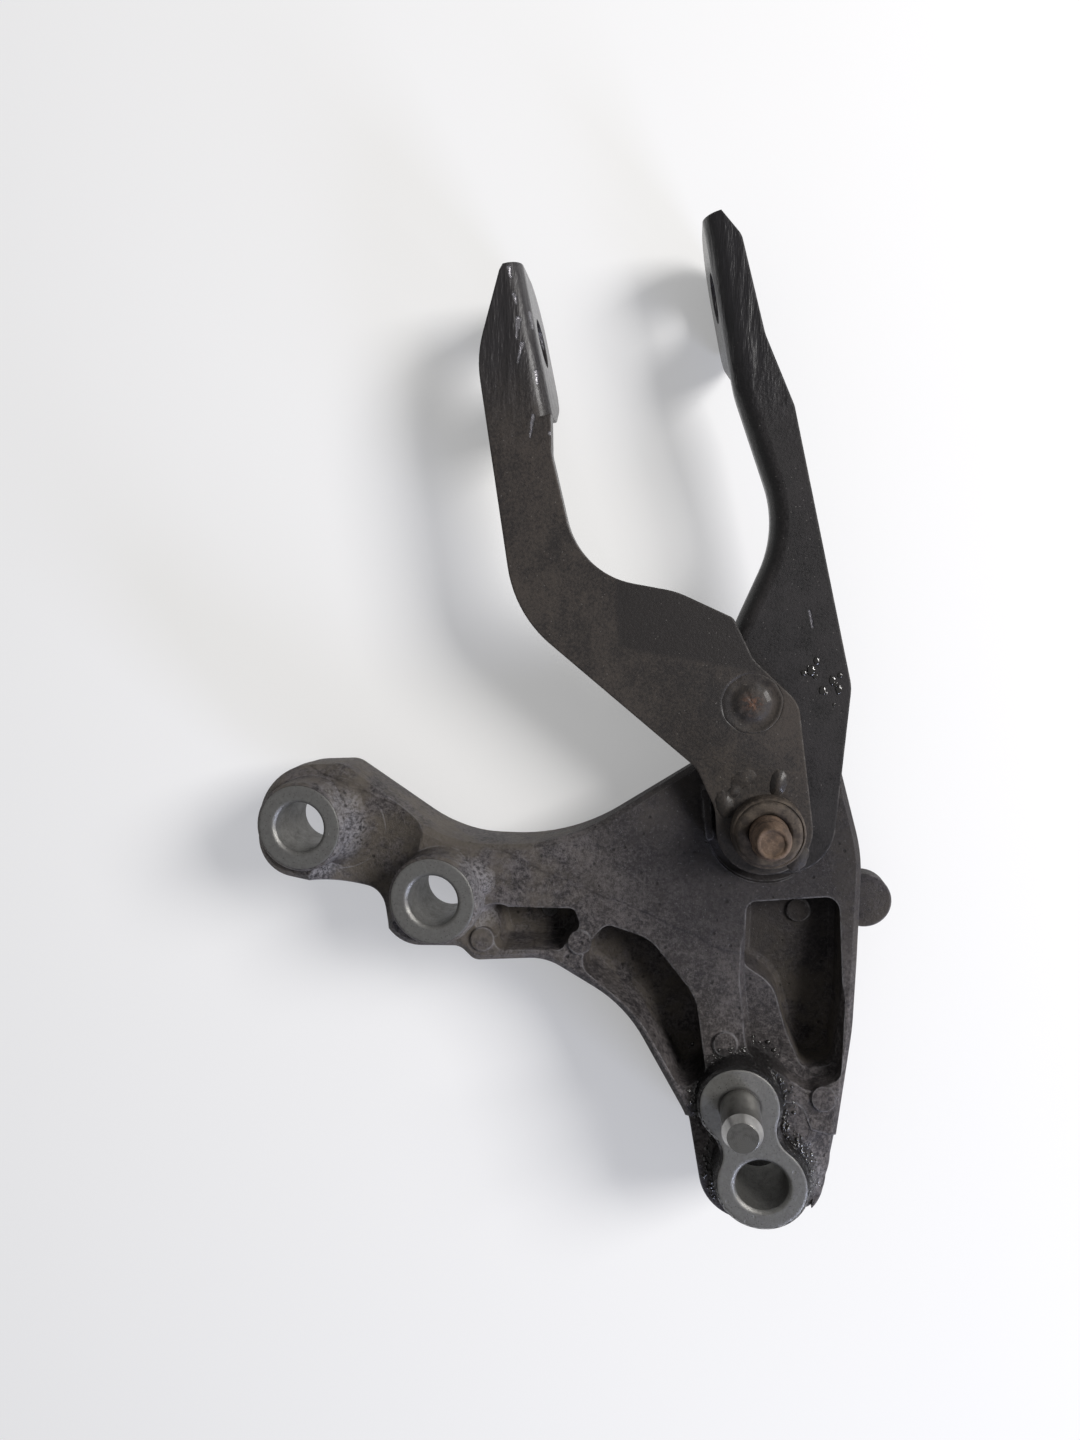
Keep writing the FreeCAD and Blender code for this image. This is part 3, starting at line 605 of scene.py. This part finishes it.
class Shell:
    """Points and faces gathered from grids of points in millimetres, then made one mesh."""

    def __init__(self) -> None:
        """Starts empty."""
        self.points: list[np.ndarray] = []
        self.faces: list[list[int]] = []
        self.count = 0

    def add(self, grid: np.ndarray, loop: bool = False) -> None:
        """Adds a stack of closed rings, each a row of the grid that turns left seen from above.

        Neighbouring rings are joined by four-sided faces. Unless the stack is a loop, each end
        is closed by triangles to a pole, the mean of the end ring. Going up the outside, the
        faces point outwards.

        Args:
            grid: points of shape (rows, columns, 3).
            loop: joins the last ring to the first.
        """
        rows, columns = grid.shape[:2]
        number = np.arange(rows * columns).reshape(rows, columns) + self.count
        after = np.roll(number, -1, axis=1)
        above, above_after = np.roll(number, -1, axis=0), np.roll(after, -1, axis=0)
        quads = np.stack([number, after, above_after, above], axis=-1)
        self.faces.extend(quads[:rows if loop else rows - 1].reshape(-1, 4).tolist())
        self.points.append(grid.reshape(-1, 3))
        self.count += rows * columns
        if loop:
            return
        for end, left, right in ((0, after[0], number[0]), (-1, number[-1], after[-1])):
            pole = np.full(columns, self.count)
            self.faces.extend(np.stack([pole, left, right], axis=-1).tolist())
            self.points.append(grid[end].mean(axis=0, keepdims=True))
            self.count += 1

    def build(self, name: str, material: bpy.types.Material, slot: Slot,
              crease: float) -> bpy.types.Object:
        """Makes the object, riding on the bracket.

        Args:
            name: the piece's name.
            material: its finish.
            slot: the record's slot that the finish stands for; not used.
            crease: edges sharper than this angle in degrees stay sharp.

        Returns:
            The object.
        """
        mesh = bpy.data.meshes.new(name)
        mesh.from_pydata((np.concatenate(self.points) * MM).tolist(), [], self.faces)
        mesh.shade_smooth()
        mesh.set_sharp_from_angle(angle=math.radians(crease))
        mesh.materials.append(material)
        made = bpy.data.objects.new(name, mesh)
        bpy.context.scene.collection.objects.link(made)
        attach(made, "root")
        return made


def around(columns: int) -> np.ndarray:
    """Equal angles in one full turn, of shape (1, columns)."""
    return np.linspace(0, TURN, columns, endpoint=False)[None, :]


def place_grid(centre: Place, right: np.ndarray, ahead: np.ndarray,
               height: np.ndarray) -> np.ndarray:
    """Points (rows, columns, 3) at distances along x and y from a place, and at heights."""
    level = np.broadcast_to(height, right.shape)
    return np.stack([centre[0] + right, centre[1] + ahead, level], axis=-1)


def round_grid(centre: Place, radius: np.ndarray, height: np.ndarray,
               columns: int) -> np.ndarray:
    """Rings about an upright axis: each point is the centre plus the radius along its angle.

    Args:
        centre: the axis in plan, in millimetres.
        radius: radii of shape (rows, 1) or (rows, columns).
        height: heights of the same kind.
        columns: points in a ring.

    Returns:
        Points of shape (rows, columns, 3).
    """
    angle = around(columns)
    return place_grid(centre, radius * np.cos(angle), radius * np.sin(angle), height)


def cap_rings(under: Sequence[float], over: Sequence[float]) -> tuple[np.ndarray, np.ndarray]:
    """The rings of a closed cap, as shares of its radius.

    Args:
        under: shares of the rings on its underside, going out.
        over: shares of the rings on its top, going in.

    Returns:
        The shares, and 0 for a ring below or 1 for one above, each of shape (rows, 1).
    """
    side = np.repeat([0.0, 1.0], [len(under), len(over)])
    return np.concatenate([under, over])[:, None], side[:, None]


def ripple(angle: np.ndarray, height: np.ndarray, seed: int, waves: int = 7) -> np.ndarray:
    """Uneven swell between about -1 and 1: sines of angle and height, drawn at random.

    Args:
        angle: angles in radians.
        height: heights in millimetres.
        seed: seed of the draw.
        waves: how many sines.

    Returns:
        The swell.
    """
    draw = np.random.default_rng(seed)
    total = np.zeros(np.broadcast(angle, height).shape)
    for _ in range(waves):
        turns, pitch = draw.integers(1, 12), draw.uniform(0.2, 2.5)
        total = total + np.sin(turns * angle + pitch * height + draw.uniform(0, TURN))
    return total / math.sqrt(waves)


def dense(profile: Sequence[Place], step: float) -> tuple[np.ndarray, np.ndarray]:
    """Points along a (radius, height) profile no further apart than step, its corners kept.

    Args:
        profile: the corners.
        step: longest distance between two points in millimetres.

    Returns:
        Radii and heights, each of shape (rows, 1).
    """
    radii, heights = [], []
    for (r0, z0), (r1, z1) in zip(profile, profile[1:]):
        count = max(1, math.ceil(math.hypot(r1 - r0, z1 - z0) / step))
        share = np.arange(count) / count
        radii.append(r0 + (r1 - r0) * share)
        heights.append(z0 + (z1 - z0) * share)
    radii.append(np.array([profile[-1][0]]))
    heights.append(np.array([profile[-1][1]]))
    return np.concatenate(radii)[:, None], np.concatenate(heights)[:, None]


def smooth(value: np.ndarray, low: float, high: float) -> np.ndarray:
    """A smooth step from 0 at low to 1 at high."""
    share = np.clip((value - low) / (high - low), 0, 1)
    return share * share * (3 - 2 * share)


@dataclass
class ForkFixing:
    """The rusted bolt through the fork, its collar nut, the weld and the rivet above it.

    Sizes and levels are in millimetres. A lump is given by its place from the bolt's axis, its
    radius, its height, its direction in degrees and how many times longer it is that way.
    """

    paint: bpy.types.Material
    thread: float = 4.95
    thread_depth: float = 0.40
    pitch: float = 1.5
    under_head: float = -29.0
    head_end: float = -38.5
    head_start: float = -31.8
    head_face: float = 6.9
    head_cone: float = 60.0
    flange: float = 10.0
    half_flats: float = 7.5
    point_start: float = 2.5
    tip: float = 5.5
    sheet: float = LEFT_SHEET
    nut_top: float = -4.5
    collar: float = 9.5
    nut_bore: float = 5.05
    lumps: tuple[tuple[float, ...], ...] = (
        (2.4, 12.3, 2.2, 1.15, 78, 1.7), (-6.4, 13.0, 2.4, 0.45, 30, 1.5),
        (-10.8, 6.4, 2.3, 0.80, 105, 1.7), (7.6, -7.0, 2.6, 0.70, 60, 1.4),
        (-8.8, 9.6, 1.5, 0.55, 50, 1.5))
    lump_root: float = 0.3

    def bolt(self) -> bpy.types.Object:
        """The bolt in one skin, from the middle of its head up to the middle of its tip.

        The radius is the profile's, except that on the head it is the smaller of the hexagon's
        and a chamfer cone's, and on the thread a cosine of height over pitch less angle over a
        turn is taken off it.

        Returns:
            The object.
        """
        radius, height = dense([
            (self.head_face, self.head_end), (8.7, self.head_end + 0.9), (8.7, -31.9),
            (8.9, -31.5), (9.7, -31.3), (self.flange, -31.0), (self.flange, -29.5),
            (9.6, self.under_head), (self.thread, self.under_head),
            (self.thread, self.nut_top - 1.0)], 0.6)
        fine_radius, fine_height = dense([
            (self.thread, self.nut_top - 0.9), (self.thread, self.point_start), (4.75, 2.9),
            (4.05, 5.1), (3.85, 5.42), (3.6, self.tip), (3.3, 5.44), (2.9, 5.12),
            (1.0, 5.0)], 0.12)
        radius = np.concatenate([radius, fine_radius])
        height = np.concatenate([height, fine_height])
        columns = 144
        angle = around(columns)
        sixth = TURN / 6
        hexagon = self.half_flats / np.cos(np.mod(angle, sixth) - sixth / 2)
        slope = math.tan(math.radians(self.head_cone))
        cone = self.head_face + (height - self.head_end) * slope
        radius = np.where(height < self.head_start, np.minimum(hexagon, cone), radius)
        turns = 0.5 - 0.5 * np.cos(TURN * height / self.pitch - angle)
        # The turns fade out in the nut and are filled with rust towards the point
        visible = smooth(height, self.nut_top - 0.9, self.nut_top)
        visible = visible * (1 - 0.8 * smooth(height, -2.2, 0.8))
        on_thread = (height > self.nut_top - 0.95) & (height < self.point_start + 0.1)
        radius = radius - np.where(on_thread, self.thread_depth * visible * turns, 0)
        worn = 0.035 * (ripple(angle, height * 2, 4) - 1.2) * smooth(height, -4.0, -2.0)
        shell = Shell()
        shell.add(round_grid(
            FORK_BOLT, np.minimum(radius + worn, self.flange), height, columns))
        made = shell.build("fork_bolt_rusted", BOLT_RUST.material(), Slot.RUSTY, 32)
        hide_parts("fork_bolt")
        return made

    def nut(self) -> bpy.types.Object:
        """The collar nut with its weld ring: a closed profile carried round, its radius uneven.

        Returns:
            The object.
        """
        radius, height = dense([
            (self.nut_bore, self.sheet), (self.collar - 0.1, self.sheet),
            (self.collar - 0.15, -7.2), (9.3, -6.1), (9.05, -5.55), (8.75, -5.4),
            (8.5, -5.6), (8.35, -5.3), (8.1, -4.8), (7.7, -4.56), (7.2, self.nut_top),
            (5.9, self.nut_top), (5.3, -4.9), (self.nut_bore, -5.3),
            (self.nut_bore, self.sheet + 0.3)], 0.35)
        columns = 128
        angle = around(columns)
        outside = smooth(radius, 6.0, 9.0) * smooth(height, -9.5, -8.0)
        swell = ripple(angle, height, 11)
        # The weld ring is full at the upper right and thin at the lower left
        full = 0.5 + 0.5 * np.cos(angle - math.radians(35))
        ring = smooth(radius, 8.45, 8.8) * (1 - smooth(radius, 9.35, 9.6))
        ring = ring * smooth(height, -7.0, -5.8)
        wide = np.minimum(radius + 0.06 * outside * (swell - 1.3), self.collar)
        below_top = height < self.nut_top - 0.1
        tall = height + ring * (0.45 * full - 0.25) + 0.03 * outside * swell * below_top
        shell = Shell()
        shell.add(round_grid(FORK_BOLT, wide, np.minimum(tall, self.nut_top), columns), loop=True)
        made = shell.build("collar_nut", NUT_RUST.material(), Slot.RUSTY, 50)
        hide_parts("weld_nut")
        return made

    def weld(self) -> bpy.types.Object:
        """The weld's lumps: each a cap whose height falls as 1 less r squared, to the power 1.5.

        Returns:
            The object.
        """
        shell = Shell()
        share, side = cap_rings(np.linspace(0.3, 1.0, 4), np.linspace(0.97, 0.08, 14))
        fall = np.clip(1 - share ** 2, 0, 1) ** 1.5
        angle = around(40)
        for number, (x, y, radius, tall, turn, longer) in enumerate(self.lumps):
            swell = 1 + 0.05 * ripple(angle, np.zeros_like(share), 30 + number, 4)
            cap = self.sheet - self.lump_root + side * (self.lump_root + tall * fall)
            along = radius * longer * share * np.cos(angle) * swell
            across = radius * share * np.sin(angle) * swell
            cosine, sine = math.cos(math.radians(turn)), math.sin(math.radians(turn))
            shell.add(place_grid(
                (FORK_BOLT[0] + x, FORK_BOLT[1] + y), along * cosine - across * sine,
                along * sine + across * cosine, cap))
        made = shell.build("weld_lumps", self.paint, Slot.RUSTY, 60)
        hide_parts("nut_weld")
        return made

    def rivet(self) -> bpy.types.Object:
        """The rivet: a profile carried round, a dome in a wide shallow dish with a folded rim.

        Returns:
            The object.
        """
        radius, height = dense([
            (0.6, -19.7), (2.6, -19.55), (4.2, -19.1), (5.6, -18.4), (6.1, -18.05),
            (6.0, -17.98), (4.0, -17.98), (4.0, -10.9), (7.3, -10.75), (7.75, -10.2),
            (7.6, -9.98), (7.0, -10.0), (6.2, -10.14), (5.4, -10.2), (4.8, -10.1),
            (4.3, -9.85), (3.7, -9.55), (2.9, -9.3), (1.8, -9.15), (0.5, -9.1)], 0.25)
        columns = 96
        angle = around(columns)
        swell = ripple(angle, height, 21)
        on_top = smooth(height, -10.7, -10.2)
        # The rim stands highest at the lower right and sinks into the sheet on the other side
        rim = smooth(radius, 6.2, 7.4) * (1 - smooth(radius, 7.6, 7.7))
        folded = np.cos(angle - math.radians(-40)) * rim
        raised = height + on_top * (0.28 * folded + 0.05 * swell)
        shell = Shell()
        shell.add(round_grid(RIVET, radius * (1 + 0.012 * on_top * swell), raised, columns))
        made = shell.build("rivet_domed", self.paint, Slot.RUSTY, 60)
        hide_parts("arm_rivet")
        return made

    def build(self) -> list[bpy.types.Object]:
        """Every piece of the fixing."""
        return [self.bolt(), self.nut(), self.weld(), self.rivet()]


@dataclass
class PocketDial:
    """A plain date dial cast in the floor of the short pocket."""

    centre: Place = (-57.6, 64.4)
    floor: float = -19.0
    radius: float = 2.3
    ticks: int = 12
    root: float = 0.25
    thickness: float = 0.33
    relief: float = 0.55

    def build(self) -> bpy.types.Object:
        """A low disc, with a ridge near its rim, short ridges at equal angles and a hub.

        The rim's ridge is a bell curve of the share of the radius, and each short one is the
        cube of a cosine of the angle.

        Returns:
            The object.
        """
        share, side = cap_rings([0.97, 1.0], np.linspace(1.0, 0.06, 26))
        columns = 12 * self.ticks
        rim = np.exp(-((share - 0.86) / 0.06) ** 2)
        spokes = np.clip(np.cos(around(columns) * self.ticks), 0, 1) ** 3
        spokes = spokes * smooth(share, 0.30, 0.42) * (1 - smooth(share, 0.66, 0.78))
        hub = 1 - smooth(share, 0.12, 0.22)
        raised = self.relief * np.maximum(np.maximum(rim, spokes), hub)
        height = self.floor - self.root + side * (self.thickness + raised)
        shell = Shell()
        shell.add(round_grid(self.centre, self.radius * share, height, columns))
        return shell.build("pocket_dial", CastSkin("dial_skin").material(), Slot.CAST, 60)


@dataclass(frozen=True)
class Fillet:
    """A slope of cast skin from a boss down to the web round it, in millimetres.

    Each row gives a direction about the boss in degrees from the right, the reach there, the
    height on the boss, the height at the edge, and the level of the underside, which is sunk
    in the casting.
    """

    name: str
    centre: Place
    hollow: float
    rows: tuple[tuple[float, ...], ...]
    inside: float = 11.8

    def build(self, material: bpy.types.Material) -> bpy.types.Object:
        """Cross-sections round the boss, each a closed outline of top, edge, underside and root.

        Along the top the height above the edge falls as 1 less the share of the reach, to the
        power hollow.

        Args:
            material: the casting's finish.

        Returns:
            The object.
        """
        table = np.array(self.rows, dtype=float).T
        turn = np.linspace(table[0, 0], table[0, -1], 90)[:, None]
        reach, boss, edge, under = (np.interp(turn, table[0], values) for values in table[1:])
        over, down = np.linspace(0, 1, 24), np.linspace(1, 0, 7)[1:]
        back, root = np.linspace(1, 0, 9)[1:], np.linspace(0, 1, 7)[1:-1]
        outward = np.concatenate([over, np.ones(len(down)), back, np.zeros(len(root))])
        upward = np.concatenate([np.ones(len(over)), down, np.zeros(len(back)), root])
        radius = self.inside + (reach - self.inside) * outward
        top = edge + (boss - edge) * (1 - outward) ** self.hollow
        angle = np.radians(turn)
        shell = Shell()
        shell.add(place_grid(self.centre, radius * np.cos(angle), radius * np.sin(angle),
                             under + (top - under) * upward))
        return shell.build(self.name, material, Slot.CAST, 50)


FILLETS = (
    Fillet("boss_flank", LOWER_BOSS, 1.15, (
        (-80, 14.7, -14.0, -14.0, -14.3), (-60, 15.7, -11.0, -13.0, -14.3),
        (-40, 16.8, -7.0, -10.5, -14.3), (-20, 16.6, -5.0, -8.4, -14.3),
        (0, 16.8, -4.0, -8.4, -14.3), (20, 18.8, -3.6, -8.4, -14.3),
        (35, 21.3, -3.6, -8.2, -14.3), (45, 20.5, -3.8, -4.9, -14.3),
        (55, 20.8, -4.0, -4.9, -14.3), (70, 22.5, -4.2, -5.4, -14.3),
        (84, 23.0, -4.4, -6.0, -14.3))),
    Fillet("outer_fillet", OUTER_BOSS, 1.9, (
        (-68, 14.0, -7.5, -8.5, -10.0), (-50, 17.0, -4.0, -11.1, -12.6),
        (-30, 19.5, -2.2, -12.1, -13.5), (-10, 20.5, -1.6, -12.0, -13.5),
        (10, 19.5, -1.8, -11.1, -12.6), (30, 17.5, -3.2, -9.8, -11.3),
        (50, 15.5, -6.0, -9.8, -11.3), (65, 13.5, -8.5, -9.5, -11.0))),
    Fillet("middle_fillet", MIDDLE_BOSS, 1.9, (
        (-2, 15.0, -7.4, -7.8, -9.3), (10, 17.0, -4.6, -8.7, -10.2),
        (25, 17.5, -3.4, -9.5, -11.0), (40, 16.0, -3.6, -10.0, -11.5),
        (55, 14.5, -5.0, -10.0, -11.5), (70, 13.2, -8.5, -9.5, -11.0))),
)


@dataclass
class OilCrumbs:
    """Wet crumbs of grit and oil lying against the foot of the lower boss and its dowel lobe.

    Sizes and levels are in millimetres; each wall is an axis and the nearest distance from it.
    """

    walls: tuple[tuple[Place, float], ...] = ((LOWER_BOSS, 12.6), (DOWEL, 11.3))
    count: int = 760
    seed: int = 71
    spread: float = 3.0
    highest: float = -2.0
    steepest: float = 0.8
    root: float = 0.25

    def landing(self, pieces: Sequence[bpy.types.Object], x: float, y: float) -> float | None:
        """Height of the highest of some pieces at a place, or None beside them.

        Args:
            pieces: unturned pieces at the world's origin.
            x: place in millimetres.
            y: place in millimetres.

        Returns:
            The height in millimetres.
        """
        heights = []
        for piece in pieces:
            hit, point, _, _ = piece.ray_cast(Vector((x, y, 50.0)) * MM, Vector((0, 0, -1)))
            if hit:
                heights.append(point.z / MM)
        return max(heights, default=None)

    def build(self, ground: Sequence[bpy.types.Object]) -> bpy.types.Object:
        """Each crumb is a lobed cap whose height falls as the square root of 1 less r squared.

        Args:
            ground: the pieces on which the crumbs lie.

        Returns:
            The object.
        """
        bpy.context.view_layer.update()
        draw = np.random.default_rng(self.seed)
        share, side = cap_rings([0.6, 1.0], np.linspace(0.98, 0.12, 6))
        fall = np.sqrt(np.clip(1 - share ** 2, 0, 1))
        angle = around(14)
        shell = Shell()
        for number in range(self.count):
            centre, wall = self.walls[number % 2]
            about = draw.uniform(0, TURN)
            away = wall + self.spread * draw.uniform(0, 1) ** 2.5
            size = draw.uniform(0.20, 0.50) * draw.uniform(0.6, 1.4)
            x, y = centre[0] + away * math.cos(about), centre[1] + away * math.sin(about)
            heights = [self.landing(ground, x + dx * size, y + dy * size)
                       for dx, dy in ((0, 0), (1, 0), (-1, 0), (0, 1), (0, -1))]
            if None in heights:
                continue
            level, top = min(heights), max(heights)
            if top > self.highest or top - level > self.steepest:
                continue
            swell = ripple(angle, np.zeros_like(share), 900 + number, 3)
            lobed = size * share * (1 + 0.22 * swell)
            rise = size * draw.uniform(0.5, 1.0)
            cap = level - self.root + side * (self.root + rise * fall)
            shell.add(place_grid((x, y), lobed * np.cos(angle), lobed * np.sin(angle), cap))
        wet_grit = OilDrop("wet_grit", (0.008, 0.007, 0.007)).material()
        return shell.build("oil_crumbs", wet_grit, Slot.CAST, 70)


@dataclass
class OilSpots:
    """Wet drops of oil on the right arm: each a place, a radius and how much longer it is."""

    sheet: float = RIGHT_SHEET
    root: float = 0.2
    rise: float = 0.42
    drops: tuple[tuple[float, ...], ...] = (
        (8.4, 130.4, 0.75, 1.0), (10.2, 131.0, 1.05, 1.3), (11.2, 129.6, 0.7, 1.0),
        (11.4, 133.4, 0.8, 1.2), (15.4, 128.6, 0.8, 1.5), (16.2, 127.6, 0.6, 1.2),
        (17.1, 126.2, 0.85, 1.4), (17.3, 129.8, 0.65, 1.0), (13.1, 126.0, 0.9, 1.2),
        (13.9, 125.3, 0.5, 1.0), (16.0, 122.4, 0.4, 1.0), (9.3, 132.0, 0.35, 1.0))

    def build(self) -> bpy.types.Object:
        """Each drop is a lobed cap whose height falls as the square root of 1 less r squared.

        Returns:
            The object.
        """
        share, side = cap_rings([0.5, 1.0], np.linspace(0.99, 0.1, 9))
        fall = np.sqrt(np.clip(1 - share ** 2, 0, 1))
        angle = around(28)
        shell = Shell()
        for number, (x, y, radius, longer) in enumerate(self.drops):
            swell = ripple(angle, np.zeros_like(share), 50 + number, 3)
            lobed = radius * share * (1 + 0.14 * swell)
            cap = self.sheet - self.root + side * (self.root + self.rise * radius * fall)
            shell.add(place_grid(
                (x, y), lobed * np.cos(angle), lobed * longer * np.sin(angle), cap))
        oil = OilDrop("oil_drop", (0.006, 0.005, 0.005)).material()
        return shell.build("oil_spots", oil, Slot.PRESSED, 60)


@dataclass
class Dressing:
    """Finishes of the pieces whose solids are shown as they are."""

    cast_skin: bpy.types.Material
    left_paint: bpy.types.Material

    def coat(self, node: str, material: bpy.types.Material) -> None:
        """Gives one solid its finish.

        Args:
            node: the solid's name.
            material: the finish.
        """
        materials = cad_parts[node].data.materials
        materials.clear()
        materials.append(material)

    def build(self) -> None:
        """Dresses the casting, both arms and the dowel."""
        self.coat("cast_bracket", self.cast_skin)
        self.coat("left_arm", self.left_paint)
        self.coat("right_arm", RIGHT_PAINT.material())
        self.coat("dowel_pin", GroundSteel().material())


@dataclass(frozen=True)
class Lamp:
    """A square soft lamp that faces the bracket, in metres and watts."""

    name: str
    place: Point
    size: float
    power: float
    colour: Colour
    aim: Point = (-0.03, 0.10, -0.02)

    def build(self) -> None:
        """Puts the lamp in the scene."""
        data = bpy.data.lights.new(self.name, "AREA")
        data.size = self.size
        data.energy = self.power
        data.color = self.colour
        made = bpy.data.objects.new(self.name, data)
        made.location = self.place
        facing = Vector(self.place) - Vector(self.aim)
        made.rotation_euler = facing.to_track_quat("Z", "Y").to_euler()
        bpy.context.scene.collection.objects.link(made)


@dataclass
class Studio:
    """Pale floor, soft lamps and the camera, whose place is in millimetres."""

    camera_place: Point = (-20.54, 142.06, 230.24)
    camera_right: Point = (0.9875, 0.0, -0.1579)
    camera_up: Point = (-0.0157, 0.995, -0.0984)
    camera_back: Point = (0.1571, 0.0997, 0.9825)
    lens: float = 23.25
    sensor: float = 36.0
    floor_half: float = 3000.0
    paper: Colour = (0.91, 0.91, 0.91)
    seen_glow: float = 0.30
    air_strength: float = 0.24
    lamps: tuple[Lamp, ...] = (
        Lamp("main_lamp", (0.90, 0.50, 0.78), 0.50, 17.5, (1.0, 0.98, 0.96)),
        Lamp("cool_lamp", (0.72, -0.80, 0.36), 0.40, 8.0, (0.72, 0.77, 1.0)))

    def floor_paper(self) -> bpy.types.Material:
        """White paper that looks a little brighter than it is lit, and keeps the shadow on it.

        Returns:
            The finished material.
        """
        r = Recipe("floor_white")
        paper = r.node("BsdfPrincipled", {}, {"Base Color": (*self.paper, 1), "Roughness": 0.9})
        glow = r.node("Emission", {}, {"Strength": 1.0})
        rays = r.node("LightPath")
        camera, glossy, through = (
            r.out(rays, f"Is {kind} Ray") for kind in ("Camera", "Glossy", "Transmission"))
        seen = camera.at_least(glossy).at_least(through)
        mixed = r.node("MixShader", {}, {
            0: seen * self.seen_glow, 1: r.out(paper, 0), 2: r.out(glow, 0)})
        r.node("OutputMaterial", {}, {"Surface": r.out(mixed, 0)})
        return r.material

    def floor(self) -> None:
        """A broad level sheet under the lowest rims."""
        half = self.floor_half
        corners = np.array([[-half, -half], [half, -half], [half, half], [-half, half]])
        level = np.full((4, 1), FLOOR_LEVEL)
        mesh = bpy.data.meshes.new("studio_floor")
        mesh.from_pydata((np.hstack([corners, level]) * MM).tolist(), [], [[0, 1, 2, 3]])
        mesh.materials.append(self.floor_paper())
        made = bpy.data.objects.new("studio_floor", mesh)
        bpy.context.scene.collection.objects.link(made)

    def light(self) -> None:
        """A soft main lamp at the upper right, a cool one from below and plain light all round."""
        for lamp in self.lamps:
            lamp.build()
        world = bpy.data.worlds.new("studio_air")
        bpy.context.scene.world = world
        world.use_nodes = True
        back = world.node_tree.nodes["Background"]
        back.inputs["Color"].default_value = (1, 1, 1, 1)
        back.inputs["Strength"].default_value = self.air_strength

    def camera(self) -> None:
        """The camera at the photograph's place."""
        data = bpy.data.cameras.new("bench_camera")
        data.lens = self.lens
        data.sensor_width = self.sensor
        data.clip_start = 0.01
        made = bpy.data.objects.new("bench_camera", data)
        axes = Matrix((self.camera_right, self.camera_up, self.camera_back)).transposed()
        made.matrix_world = Matrix.Translation(Vector(self.camera_place) * MM) @ axes.to_4x4()
        bpy.context.scene.collection.objects.link(made)
        bpy.context.scene.camera = made

    def build(self) -> None:
        """Everything round the object."""
        bpy.context.scene.view_settings.view_transform = "Standard"
        self.floor()
        self.light()
        self.camera()


def main() -> None:
    """Builds the pieces in order and reports each."""
    logging.basicConfig(level=logging.INFO, format="%(name)s: %(message)s")
    cast_skin, left_paint = CastSkin().material(), LEFT_PAINT.material()
    Dressing(cast_skin, left_paint).build()
    LOG.info("dressed the solids")
    fillets = [fillet.build(cast_skin) for fillet in FILLETS]
    crumbs = OilCrumbs().build([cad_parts["cast_bracket"], *fillets])
    fixing = ForkFixing(left_paint).build()
    for piece in [*fixing, *fillets, crumbs, PocketDial().build(), OilSpots().build()]:
        LOG.info("%s: %d faces", piece.name, len(piece.data.polygons))
    Studio().build()


if __name__ == "__main__":
    main()
